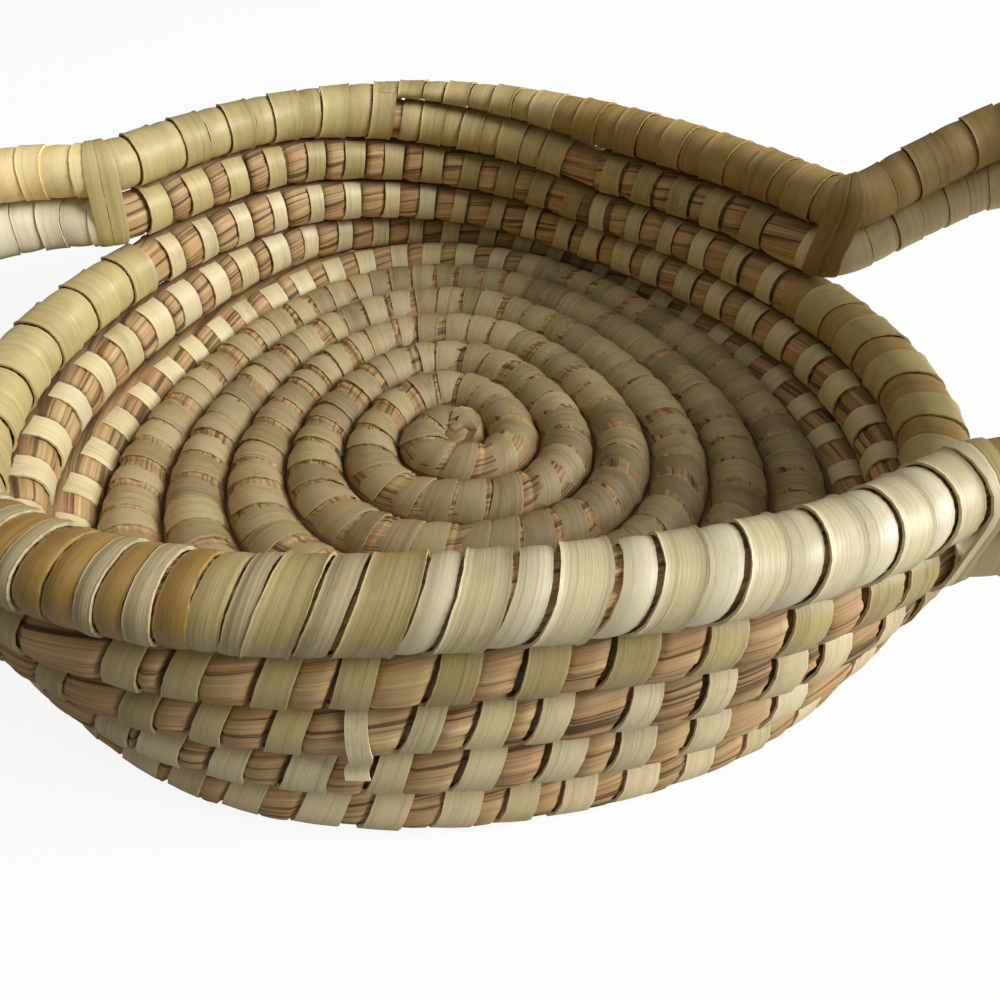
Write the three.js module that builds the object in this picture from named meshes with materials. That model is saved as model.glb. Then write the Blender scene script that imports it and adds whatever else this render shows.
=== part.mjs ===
// Coiled sweetgrass basket with two bowed loop handles.
// Lengths are millimetres, angles are degrees, +Z is up, -Y is the front, the handles lie along X.
//
// One bundle of grass is coiled out from the middle of the base and then climbs the wall, a row for
// each turn. The last two rows leave the wall at both sides and bow out as the handles, so that the
// third row is the rim there. Palm strips are wound round the rim, the side rims and the handles,
// and a lashing holds the two rows of a handle together where they leave the wall.

import * as THREE from 'three';

const { degToRad, radToDeg, lerp, clamp } = THREE.MathUtils;

// The grass coil as it lies once it is sewn
const coilWidth = 11.6;
const coilHeight = 11.1;
const turnGap = 0.5;
const rowGap = 0.5;
const restCut = 1.16;
const jointGap = 0.3;

// The base: the middle line of its edge coil, a rounded triangle, and of the tight curl it starts in
const edgeRadius = 81.3;
const eyeRadius = 3.4;
const eyeGap = 0.45;
const cornerDepth = 4.1;
const cornerTurn = 76;
const spiralShiftX = -3.3;
const spiralShiftY = 1.9;

// The wall: it leans out more at the sides than at the front and back, and most in its first row
const sideLean = 12.8;
const endLean = -2.2;
const leftLean = 4.4;
const cornerLean = 2.6;
const leanShares = [1.89, 1.3, 0.7, 0.11];
const driftShares = [1, 0.5, 0.2, 0, 0, 0];
const climbStartAngle = 60;
const climbAngle = 60;

// The handles: where each leaves and rejoins the wall, how far it bows out and how high it lifts
const leftHandle = { leaveAngle: 150, rejoinAngle: 210, reach: 43, lift: 1 };
const rightHandle = { leaveAngle: 315, rejoinAngle: 375, reach: 50, lift: 24 };
const bowDrop = 0.9;

// The bows: along the line that joins the two ends, out from it and up, in shares of these sizes
const leftBowShares = [
  [0.05, 0.45, 0.3],
  [0.19, 0.87, 0.8],
  [0.5, 1, 1],
  [0.81, 0.87, 0.8],
  [0.95, 0.45, 0.3],
];
const rightBowShares = [
  [0.02, 0.4, 0.3],
  [0.2, 0.84, 0.75],
  [0.56, 1, 1],
  [0.95, 0.92, 0.98],
  [1.08, 0.62, 0.74],
  [1.04, 0.3, 0.36],
];

// The palm strips, and how far apart their turns lie
const stripThickness = 0.6;
const stripClearance = 0.35;
const stripGap = 0.6;
const frontWrapPitch = 7.8;
const backWrapPitch = 10;
const sideWrapPitch = 11;
const handleWrapPitch = 11.9;
const lashingLoops = 1.5;

// The tail of the coil thins over the place where the rim row climbs
const tailAngle = 42;
const tailNarrowShare = 0.4;
const tailSteps = 3;

// How finely the routes are stepped
const stepAngle = 15;
const handleSteps = 14;

const turnAngle = 360;
const rowRise = coilHeight + rowGap;
const turnPitch = coilWidth + turnGap;
const halfHeight = coilHeight / 2;
const restHeight = coilWidth / 2 - restCut;
const stripRoom = stripThickness + stripClearance;
const rimRow = leanShares.length;

// A row is counted from the base's edge coil, row 0, to the rim. The shape of the basket in plan is
// one outline that the base coil draws in evenly and that the wall's rows carry outwards.
function outlineScale(angle) {
  return 1 + (cornerDepth / edgeRadius) * Math.cos(degToRad(3 * angle + cornerTurn));
}

function leanAt(angle) {
  const turn = degToRad(angle);
  const across = Math.sin(turn) ** 2;
  return degToRad(
    lerp(sideLean, endLean, across) - leftLean * Math.cos(turn) - cornerLean * Math.sin(2 * turn),
  );
}

function rowRadius(angle, row) {
  const lean = leanAt(angle);
  let radius = edgeRadius * outlineScale(angle);
  leanShares.forEach((share, index) => {
    radius += rowRise * Math.sin(lean * share) * clamp(row - index, 0, 1);
  });
  return radius;
}

// How far along its turn a place lies, from the angle where each row climbs
function turnShare(angle) {
  return (angle - climbStartAngle) / turnAngle;
}

// The base's coil gains one pitch a turn. Its last turn drifts outwards in the same way, and the
// rows above it even this out.
function placeOnRow(angle, row, height) {
  const share = driftShares[row];
  const drift = turnPitch * (turnShare(angle) - row + 1 / 2);
  const radius = rowRadius(angle, row) + share * drift;
  const turn = degToRad(angle);
  return new THREE.Vector3(
    share * spiralShiftX + radius * Math.cos(turn),
    share * spiralShiftY + radius * Math.sin(turn),
    height,
  );
}

function outwards(angle) {
  return new THREE.Vector3(Math.cos(degToRad(angle)), Math.sin(degToRad(angle)), 0);
}

// A station is one section of the coil: its middle, the way out from the basket, and its half sizes
function station(middle, out, halfWide, halfHigh) {
  return { middle, out, halfWide, halfHigh };
}

function baseStation(angle) {
  const radius = (edgeRadius + turnPitch * (turnShare(angle) + 1 / 2)) * outlineScale(angle);
  const out = outwards(angle);
  const middle = new THREE.Vector3(spiralShiftX, spiralShiftY, restHeight);
  middle.addScaledVector(out, radius);
  const halfWide = Math.min((turnPitch * outlineScale(angle) - turnGap) / 2, radius - eyeGap);
  return station(middle, out, halfWide, halfHeight);
}

// The wall's first row starts beside the base's last turn and rolls up along its side on to it
function firstClimb(angle, climbed) {
  const below = baseStation(angle - turnAngle);
  const middle = below.middle.clone();
  middle.addScaledVector(below.out, turnPitch * outlineScale(angle) * (1 - climbed / 2));
  middle.z += rowRise * climbed;
  return middle;
}

// Each later climb lifts the coil by one row over the same arc
function rowMiddle(angle) {
  const row = Math.floor(turnShare(angle)) + 1;
  const past = angle - climbStartAngle - (row - 1) * turnAngle;
  const climbed = Math.min(past / climbAngle, 1);
  const height = restHeight + rowRise * (row - 1 + climbed);
  if (row === 1) {
    const settled = clamp(past / climbAngle - 1, 0, 1);
    return firstClimb(angle, climbed).lerp(placeOnRow(angle, row, height), settled);
  }
  return placeOnRow(angle, row - 1, height).lerp(placeOnRow(angle, row, height), climbed);
}

function coilStation(angle, trim) {
  const middle = rowMiddle(angle);
  return station(middle, outwards(angle), coilWidth / 2 - trim, halfHeight - trim);
}

function placeOnTurn(angle, turn) {
  return rowMiddle(angle + turn * turnAngle);
}

// A handle row runs in one smooth line from the wall out round its bow and back to the wall
function bowPath(handle, shares, turn, drop) {
  const start = placeOnTurn(handle.leaveAngle, turn);
  const end = placeOnTurn(handle.rejoinAngle, turn);
  const along = end.clone().sub(start);
  const across = new THREE.Vector3(along.y, -along.x, 0).normalize();
  const points = [placeOnTurn(handle.leaveAngle - stepAngle, turn), start];
  for (const [alongShare, outShare, liftShare] of shares) {
    const point = start.clone().addScaledVector(along, alongShare);
    point.addScaledVector(across, handle.reach * outShare);
    point.z += (handle.lift - drop) * liftShare;
    points.push(point);
  }
  points.push(end, placeOnTurn(handle.rejoinAngle + stepAngle, turn));
  const curve = new THREE.CatmullRomCurve3(points, false, 'centripetal');
  const first = 1 / (points.length - 1);
  return evenPoints(curve, first, 1 - first, handleSteps);
}

// Points at even distances along part of a curve
function evenPoints(curve, from, to, steps) {
  const fine = [];
  const lengths = [0];
  const pieces = steps * steps;
  for (let index = 0; index <= pieces; index += 1) {
    fine.push(curve.getPoint(lerp(from, to, index / pieces)));
    if (index > 0) {
      lengths.push(lengths[index - 1] + fine[index].distanceTo(fine[index - 1]));
    }
  }
  const places = [];
  let piece = 0;
  for (let step = 0; step <= steps; step += 1) {
    const wanted = (lengths[pieces] * step) / steps;
    while (piece < pieces - 1 && lengths[piece + 1] < wanted) {
      piece += 1;
    }
    const share = (wanted - lengths[piece]) / (lengths[piece + 1] - lengths[piece]);
    places.push(fine[piece].clone().lerp(fine[piece + 1], clamp(share, 0, 1)));
  }
  return places;
}

// The way out at a bend lies between its two sides, and is lengthened so the coil keeps its width
function bendOut(before, here, after) {
  const first = here.clone().sub(before).setZ(0).normalize();
  const second = after.clone().sub(here).setZ(0).normalize();
  const mean = first.clone().add(second).normalize();
  const out = new THREE.Vector3(mean.y, -mean.x, 0);
  return out.divideScalar(mean.dot(first));
}

// The rim row and the row under it: round the wall, and out round both handles. The places where
// the handles leave and rejoin are kept, to wind the strips from.
function handleRow(turn, lastAngle, trimAt, drop) {
  const stations = [];
  const marks = {};
  const sides = [
    ['left', leftHandle, leftBowShares],
    ['right', rightHandle, rightBowShares],
  ];
  let angle = climbStartAngle;
  while (angle <= lastAngle) {
    const side = sides.find(([, handle]) => handle.leaveAngle === angle);
    if (side === undefined) {
      const place = coilStation(angle + turn * turnAngle, trimAt(angle));
      marks[angle] = stations.length;
      stations.push(place);
      angle += stepAngle;
    } else {
      const [name, handle, shares] = side;
      const path = bowPath(handle, shares, turn, drop);
      const before = placeOnTurn(handle.leaveAngle - stepAngle, turn);
      const after = placeOnTurn(handle.rejoinAngle + stepAngle, turn);
      const route = [before, ...path, after];
      marks[`${name}Leaves`] = stations.length;
      path.forEach((middle, index) => {
        const out = bendOut(route[index], middle, route[index + 2]);
        stations.push(station(middle, out, coilWidth / 2 - stripRoom, halfHeight - stripRoom));
      });
      marks[`${name}Rejoins`] = stations.length - 1;
      angle = handle.rejoinAngle + stepAngle;
    }
  }
  return { stations, marks };
}

// The section has six sides, flat above and below, and is cut off where it would pass the ground
const cornerShares = [[1, 0], [0.5, 1], [-0.5, 1], [-1, 0], [-0.5, -1], [0.5, -1]];

function corner(place, index, growth) {
  const [wideShare, highShare] = cornerShares[index];
  const halfWide = place.halfWide + growth;
  const halfHigh = place.halfHigh + growth;
  const depth = Math.min(halfHigh, place.middle.z);
  const cut = highShare < 0 ? depth / halfHigh : 1;
  const wide = highShare === 0 ? wideShare : Math.sign(wideShare) * (1 - (1 - Math.abs(wideShare)) * cut);
  const point = place.middle.clone().addScaledVector(place.out, halfWide * wide);
  point.z += halfHigh * highShare * cut;
  return point;
}

// Rings of points joined into one closed skin
function skin(rings) {
  const sides = rings[0].length;
  const positions = [];
  const faces = [];
  rings.forEach((ring) => ring.forEach((point) => positions.push(point.x, point.y, point.z)));
  for (let row = 0; row < rings.length - 1; row += 1) {
    for (let side = 0; side < sides; side += 1) {
      const a = row * sides + side;
      const b = row * sides + ((side + 1) % sides);
      faces.push(a, a + sides, b, b, a + sides, b + sides);
    }
  }
  const last = (rings.length - 1) * sides;
  for (let side = 1; side < sides - 1; side += 1) {
    faces.push(0, side, side + 1, last, last + side + 1, last + side);
  }
  const geometry = new THREE.BufferGeometry();
  geometry.setAttribute('position', new THREE.Float32BufferAttribute(positions, 3));
  geometry.setIndex(faces);
  geometry.computeVertexNormals();
  return geometry;
}

function coilRings(stations) {
  return stations.map((place) => cornerShares.map((_, index) => corner(place, index, 0)));
}

// A place on one edge line of the coil, at a station or part of the way to the next
function alongEdge(edge, at, growth) {
  const last = edge.stations.length - 2;
  const index = clamp(Math.floor(at + edge.shift), 0, last);
  const share = at + edge.shift - index;
  const start = corner(edge.stations[index], edge.corner, growth);
  return start.lerp(corner(edge.stations[index + 1], edge.corner, growth), share);
}

function stepLength(edge, at) {
  const last = edge.stations.length - 2;
  const index = clamp(Math.floor(at + edge.shift), 0, last);
  const start = corner(edge.stations[index], edge.corner, 0);
  return start.distanceTo(corner(edge.stations[index + 1], edge.corner, 0));
}

// A flat strip bridges a bend of the coil, so it is eased outwards, and up or down, to clear it
function easeOut(edge, from, to) {
  const [wideShare, highShare] = cornerShares[edge.corner];
  const start = alongEdge(edge, from, 0);
  const end = alongEdge(edge, to, 0);
  let wideEase = 0;
  let highEase = 0;
  let { out } = edge.stations[Math.floor(from + edge.shift)];
  for (let at = Math.ceil(from); at < to; at += 1) {
    const place = edge.stations[at + edge.shift];
    const bridge = start.clone().lerp(end, (at - from) / (to - from));
    const rise = alongEdge(edge, at, 0).sub(bridge);
    const outRise = rise.dot(place.out) * Math.sign(wideShare);
    highEase = Math.max(highEase, rise.z * Math.sign(highShare));
    if (outRise > wideEase) {
      wideEase = outRise;
      out = place.out;
    }
  }
  const ease = out.clone().multiplyScalar(Math.sign(wideShare) * wideEase);
  return ease.setZ(Math.sign(highShare) * highEase);
}

// A strip wound round the coil's edge lines: four corners at each, two on the coil and two above
function windingRings(edges, from, to, loops) {
  const rings = [];
  const steps = Math.round(loops * edges.length);
  const pitch = (to - from) / (loops + 1);
  for (let step = 0; step <= steps; step += 1) {
    const edge = edges[step % edges.length];
    const middle = from + pitch / 2 + (pitch * step) / edges.length;
    const half = (pitch - stripGap / stepLength(edge, middle)) / 2;
    const bridge = half + pitch / edges.length / 2;
    const ease = easeOut(edge, middle - bridge, middle + bridge);
    const inner = stripClearance;
    const outer = stripRoom;
    rings.push([
      alongEdge(edge, middle - half, inner).add(ease),
      alongEdge(edge, middle + half, inner).add(ease),
      alongEdge(edge, middle + half, outer).add(ease),
      alongEdge(edge, middle - half, outer).add(ease),
    ]);
  }
  return rings;
}

function pathLength(stations, from, to) {
  let length = 0;
  for (let index = from; index < to; index += 1) {
    length += stations[index].middle.distanceTo(stations[index + 1].middle);
  }
  return length;
}

function singleEdges(stations) {
  return cornerShares.map((_, index) => ({ stations, corner: index, shift: 0 }));
}

// A lashing goes up the outside of both rows, over the upper one and down the inside
function pairEdges(upper, lower, shift) {
  const over = [0, 1, 2, 3].map((index) => ({ stations: upper, corner: index, shift: 0 }));
  const under = [3, 4, 5, 0].map((index) => ({ stations: lower, corner: index, shift }));
  return [...over, ...under];
}

// The least distance between a tube's points and those of its other turns
function leastSelfGap(rings, apart) {
  let least = Infinity;
  rings.forEach((ring, first) => {
    for (let second = first + apart; second < rings.length; second += 1) {
      ring.forEach((point) => {
        rings[second].forEach((other) => {
          least = Math.min(least, point.distanceTo(other));
        });
      });
    }
  });
  return least;
}

const grass = { color: 0x9c7c56, roughness: 0.85 };
const straw = { color: 0xb3a56c, roughness: 0.6 };
const gold = { color: 0xb88a3a, roughness: 0.5 };
const pale = { color: 0xc0b594, roughness: 0.7 };
const brown = { color: 0x93794c, roughness: 0.6 };
const basket = new THREE.Group();

function addPiece(name, rings, finish, apart) {
  const material = new THREE.MeshStandardMaterial({ ...finish, metalness: 0, flatShading: true });
  const mesh = new THREE.Mesh(skin(rings), material);
  mesh.name = name;
  basket.add(mesh);
  const gap = leastSelfGap(rings, apart);
  console.log(`${name}: ${rings.length} sections, least gap to itself ${gap.toFixed(2)} mm`);
}

const loopSteps = turnAngle / stepAngle;
const apartSteps = loopSteps / 2;
const jointAngle = radToDeg(jointGap / edgeRadius);

// The coil's first length: the base, from the curl in the middle to the edge
const baseTurns = (edgeRadius - eyeRadius) / turnPitch + 1 / 2;
const baseStations = [];
for (let step = Math.floor(baseTurns * loopSteps); step >= 0; step -= 1) {
  baseStations.push(baseStation(climbStartAngle - step * stepAngle));
}
addPiece('base_coil', coilRings(baseStations), grass, apartSteps);

// Its second length: the two rows of the wall. The upper one is the rim between a handle's ends,
// where it is thinner for the strip that is wound round it.
function isBesideHandle(angle) {
  return [leftHandle, rightHandle].some((handle) => {
    const past = (((angle - handle.leaveAngle) % turnAngle) + turnAngle) % turnAngle;
    return past <= handle.rejoinAngle - handle.leaveAngle;
  });
}

const wallStations = [];
const wallMarks = {};
for (let angle = climbStartAngle; angle <= climbStartAngle + 2 * turnAngle; angle += stepAngle) {
  const start = angle === climbStartAngle ? jointAngle : 0;
  const isSideRim = angle > climbStartAngle + turnAngle && isBesideHandle(angle);
  wallMarks[angle - turnAngle] = wallStations.length;
  wallStations.push(coilStation(angle + start, isSideRim ? stripRoom : 0));
}
addPiece('wall_coil', coilRings(wallStations), grass, apartSteps);

// Its third length: the row under the rim row, with the lower bow of each handle
const upper = handleRow(2, climbStartAngle + turnAngle, () => 0, bowDrop);
addPiece('upper_coil', coilRings(upper.stations), grass, apartSteps);

// Its last length: the rim row, with the upper bow of each handle, and the tail
const isClimbing = (angle) => angle < climbStartAngle + climbAngle;
const rimTrim = (angle) => (isClimbing(angle) ? 0 : stripRoom);
const rim = handleRow(rimRow - 1, climbStartAngle + turnAngle, rimTrim, 0);
const rimEnd = rim.stations.length - 1;
const rimTop = restHeight + rowRise * rimRow + halfHeight;

// The rim's top stays level over the climb, so the tail fills the wedge that is left under it
for (let past = tailAngle / tailSteps; past <= tailAngle; past += tailAngle / tailSteps) {
  const angle = climbStartAngle + past;
  const wedge = coilHeight - rowRise * (past / climbAngle);
  const middle = placeOnRow(angle, rimRow, rimTop - wedge / 2);
  const halfWide = (coilWidth / 2 - stripRoom) * (1 - tailNarrowShare * (past / tailAngle));
  rim.stations.push(station(middle, outwards(angle), halfWide, wedge / 2 - stripRoom));
}
addPiece('rim_coil', coilRings(rim.stations), grass, apartSteps);

function addWinding(name, stations, from, to, pitch, finish) {
  const loops = Math.round(pathLength(stations, from, to) / pitch);
  const rings = windingRings(singleEdges(stations), from, to, loops);
  addPiece(name, rings, finish, cornerShares.length);
}

// The strips round the rim row: across the front, from the right handle to the tail, and from the
// climb to the left handle
const { marks } = rim;
addWinding('rim_wrap_front', rim.stations, marks.leftRejoins, marks.rightLeaves, frontWrapPitch, straw);
addWinding('rim_wrap_right', rim.stations, marks.rightRejoins, rim.stations.length - 1, backWrapPitch, straw);
const climbEnd = marks[climbStartAngle + climbAngle];
addWinding('rim_wrap_left', rim.stations, climbEnd, marks.leftLeaves, backWrapPitch, straw);

// Each side rim and each handle
const sides = [
  ['left', leftHandle, gold, pale],
  ['right', rightHandle, brown, brown],
];
for (const [name, handle, upperFinish, lowerFinish] of sides) {
  const from = wallMarks[handle.leaveAngle];
  const to = wallMarks[handle.rejoinAngle];
  addWinding(`${name}_side_rim_wrap`, wallStations, from, to, sideWrapPitch, straw);
  const bowFrom = marks[`${name}Leaves`];
  const bowTo = marks[`${name}Rejoins`];
  const shift = upper.marks[`${name}Leaves`] - bowFrom;
  addWinding(`${name}_handle_upper_wrap`, rim.stations, bowFrom + 1, bowTo - 1, handleWrapPitch, upperFinish);
  addWinding(
    `${name}_handle_lower_wrap`,
    upper.stations,
    bowFrom + shift + 1,
    bowTo + shift - 1,
    handleWrapPitch,
    lowerFinish,
  );
  const edges = pairEdges(rim.stations, upper.stations, shift);
  const leaving = windingRings(edges, bowFrom, bowFrom + 1, lashingLoops);
  addPiece(`${name}_leaving_lashing`, leaving, straw, edges.length);
  const rejoining = windingRings(edges, bowTo - 1, bowTo, lashingLoops);
  addPiece(`${name}_rejoining_lashing`, rejoining, straw, edges.length);
}

// The origin lies under the middle of the whole basket
const box = new THREE.Box3().setFromObject(basket);
basket.position.set(-(box.min.x + box.max.x) / 2, -(box.min.y + box.max.y) / 2, -box.min.z);

export default basket;
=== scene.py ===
"""A coiled sweetgrass basket: grass bundles sewn and wound with strips of palm leaf."""

import logging
import math
from dataclasses import dataclass, fields
from enum import Enum

import bpy
import numpy as np
from mathutils import Matrix, Vector

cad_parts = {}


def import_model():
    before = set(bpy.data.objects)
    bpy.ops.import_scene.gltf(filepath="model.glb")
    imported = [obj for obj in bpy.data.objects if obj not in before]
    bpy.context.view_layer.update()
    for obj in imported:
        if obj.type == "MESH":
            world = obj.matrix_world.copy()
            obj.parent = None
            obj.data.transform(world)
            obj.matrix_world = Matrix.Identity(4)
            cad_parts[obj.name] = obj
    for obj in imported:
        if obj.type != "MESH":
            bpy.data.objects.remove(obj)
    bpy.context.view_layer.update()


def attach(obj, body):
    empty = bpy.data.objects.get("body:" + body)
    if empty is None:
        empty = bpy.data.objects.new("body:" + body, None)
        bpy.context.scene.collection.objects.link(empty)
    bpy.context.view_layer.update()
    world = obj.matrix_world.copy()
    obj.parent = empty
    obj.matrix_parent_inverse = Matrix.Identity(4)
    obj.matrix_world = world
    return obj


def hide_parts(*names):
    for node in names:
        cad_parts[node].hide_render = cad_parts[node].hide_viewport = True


LOG = logging.getLogger("basket")
MM = 0.001
DEGREE = math.pi / 180
SEED = 20417
COIL_RADIUS = 5.8 * MM
SMOOTH_ANGLE = 50 * DEGREE
WELD_DISTANCE = 0.001 * MM

Array = np.ndarray
Colour = tuple[float, float, float]
Material = bpy.types.Material
Node = bpy.types.Node
Piece = bpy.types.Object
Place = tuple[float, float, float]
Range = tuple[float, float]
Row = tuple[float, ...]
Socket = bpy.types.NodeSocket
Tree = bpy.types.NodeTree


# The colours


def tone(code: str) -> Colour:
    """Turns a six digit screen colour into the linear colour a shader takes.

    Args:
        code: Red, green and blue as two hexadecimal digits each.

    Returns:
        The linear red, green and blue.
    """
    parts = [int(code[place : place + 2], 16) / 255 for place in (0, 2, 4)]
    return tuple(part / 12.92 if part < 0.04045 else ((part + 0.055) / 1.055) ** 2.4 for part in parts)


class Leaf(Enum):
    """The kinds of palm strip, by how the leaf has dried."""

    STRAW = "straw"
    PALE = "pale"
    GOLD = "gold"
    OLIVE = "olive"
    CREAM = "cream"
    BROWN = "brown"
    PAPER = "paper"
    INSIDE = "inside"
    # The next two are lighter copies of the gold and cream leaves: painted light on the left handle.
    HONEY = "honey"
    IVORY = "ivory"
    AMBER = "amber"


@dataclass(frozen=True)
class LeafFinish:
    """The look of one kind of dried palm strip.

    Attributes:
        dark: Colour of the hollows between its fibres and of its stains.
        middle: Colour of most of it.
        light: Colour of its raised fibres and its cut edges.
        roughness: How matt it is.
        fibre_depth: How far its fibres stand up, in metres.
    """

    dark: Colour
    middle: Colour
    light: Colour
    roughness: float
    fibre_depth: float


LEAF_FINISHES: dict[Leaf, LeafFinish] = {
    Leaf.STRAW: LeafFinish(tone("8f8052"), tone("d2c294"), tone("efe4c0"), 0.42, 0.00010),
    Leaf.PALE: LeafFinish(tone("9d8f6c"), tone("d8caa4"), tone("f1e8cf"), 0.38, 0.00006),
    Leaf.GOLD: LeafFinish(tone("66491c"), tone("a37f3f"), tone("c8a765"), 0.3, 0.00004),
    Leaf.OLIVE: LeafFinish(tone("7a673c"), tone("b8a46e"), tone("d8c892"), 0.42, 0.00009),
    Leaf.CREAM: LeafFinish(tone("918056"), tone("d7c38e"), tone("f1e4be"), 0.42, 0.00007),
    Leaf.BROWN: LeafFinish(tone("5f4820"), tone("a08450"), tone("c6a96c"), 0.44, 0.00007),
    Leaf.PAPER: LeafFinish(tone("7f6843"), tone("b9a77c"), tone("dccfa8"), 0.58, 0.00012),
    Leaf.INSIDE: LeafFinish(tone("675232"), tone("a69267"), tone("cdbb90"), 0.5, 0.00012),
    # The next two are lighter copies of the gold and cream leaves, painted light for the strong light on
    # the left handle.
    Leaf.HONEY: LeafFinish(tone("b88f3c"), tone("f6dc98"), tone("fbebb8"), 0.4, 0.00007),
    Leaf.IVORY: LeafFinish(tone("a3966c"), tone("e6dcba"), tone("f2ead2"), 0.44, 0.00007),
    Leaf.AMBER: LeafFinish(tone("553c17"), tone("967a44"), tone("bd9d60"), 0.42, 0.00008),
}


@dataclass(frozen=True)
class GrassFinish:
    """The look of the bundled grass.

    Attributes:
        shade: Colour deep between the stems, and the painted shade in the crevices beside the stitches and
            along the seams where the bundle presses on its neighbours.
        stem: Colour of most stems.
        blush: Colour of the pinkish stems.
        pale: Colour of the bleached stems.
        roughness: How matt it is.
        stem_depth: How far the stems stand up, in metres.
    """

    shade: Colour = tone("4a341a")
    stem: Colour = tone("bf9f6c")
    blush: Colour = tone("c1986b")
    pale: Colour = tone("e5ca98")
    roughness: float = 0.66
    stem_depth: float = 0.00022


# The coil's route


class Side(Enum):
    """The two sides that have a handle."""

    LEFT = "left"
    RIGHT = "right"


@dataclass(frozen=True)
class Handle:
    """Where a handle leaves and rejoins the wall, and the shape of its bow.

    Attributes:
        leave: The angle round the basket at which it leaves the wall.
        rejoin: The angle at which it is back.
        reach: How far it stands out.
        lift: How far it rises.
        bow: Places along it, each as shares of the way back, of the reach and of the lift.
    """

    leave: float
    rejoin: float
    reach: float
    lift: float
    bow: tuple[Place, ...]


@dataclass(frozen=True)
class CoilSizes:
    """The sizes of the coil, in metres and degrees, as the solids have them.

    The flat underside is cut into the base's turns by rest_cut. The plan swells by corner_depth at
    three blunt corners. Each row has its own share of the wall's lean, and its own share of the way
    in which the spiral widens. The lower row of a handle rises less than the upper one, by bow_drop.
    """

    width: float = 11.6 * MM
    height: float = 11.1 * MM
    turn_gap: float = 0.5 * MM
    row_gap: float = 0.5 * MM
    rest_cut: float = 1.16 * MM
    edge_radius: float = 81.3 * MM
    corner_depth: float = 4.1 * MM
    corner_turn: float = 76.0
    spiral_shift: Range = (-3.3 * MM, 1.9 * MM)
    side_lean: float = 12.8
    end_lean: float = -2.2
    left_lean: float = 4.4
    corner_lean: float = 2.6
    lean_shares: Row = (1.89, 1.3, 0.7, 0.11)
    drift_shares: Row = (1, 0.5, 0.2, 0, 0, 0)
    climb_start: float = 60.0
    climb_angle: float = 60.0
    bow_drop: float = 0.9 * MM
    step_angle: float = 15.0
    tail_angle: float = 42.0
    shift: Range = (-2.207 * MM, -7.662 * MM)
    left: Handle = Handle(
        150, 210, 43 * MM, 1 * MM,
        ((0.05, 0.45, 0.3), (0.19, 0.87, 0.8), (0.5, 1, 1), (0.81, 0.87, 0.8), (0.95, 0.45, 0.3)),
    )
    right: Handle = Handle(
        315, 375, 50 * MM, 24 * MM,
        (
            (0.02, 0.4, 0.3), (0.2, 0.84, 0.75), (0.56, 1, 1),
            (0.95, 0.92, 0.98), (1.08, 0.62, 0.74), (1.04, 0.3, 0.36),
        ),
    )

    @property
    def pitch(self) -> float:
        """The distance between neighbouring turns of the base."""
        return self.width + self.turn_gap

    @property
    def rise(self) -> float:
        """The distance between neighbouring rows of the wall."""
        return self.height + self.row_gap

    @property
    def rest_height(self) -> float:
        """The height of the base coil's middle line."""
        return self.width / 2 - self.rest_cut

    @property
    def rim_row(self) -> int:
        """The number of the rim row, counted from the base's edge."""
        return len(self.lean_shares)

    @property
    def handles(self) -> dict[Side, Handle]:
        """The handle at each side, in the order in which the coil meets them."""
        return {Side.LEFT: self.left, Side.RIGHT: self.right}

    @property
    def top(self) -> float:
        """The height of the rim's upper side."""
        return self.rest_height + self.rise * self.rim_row + self.height / 2


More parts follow.
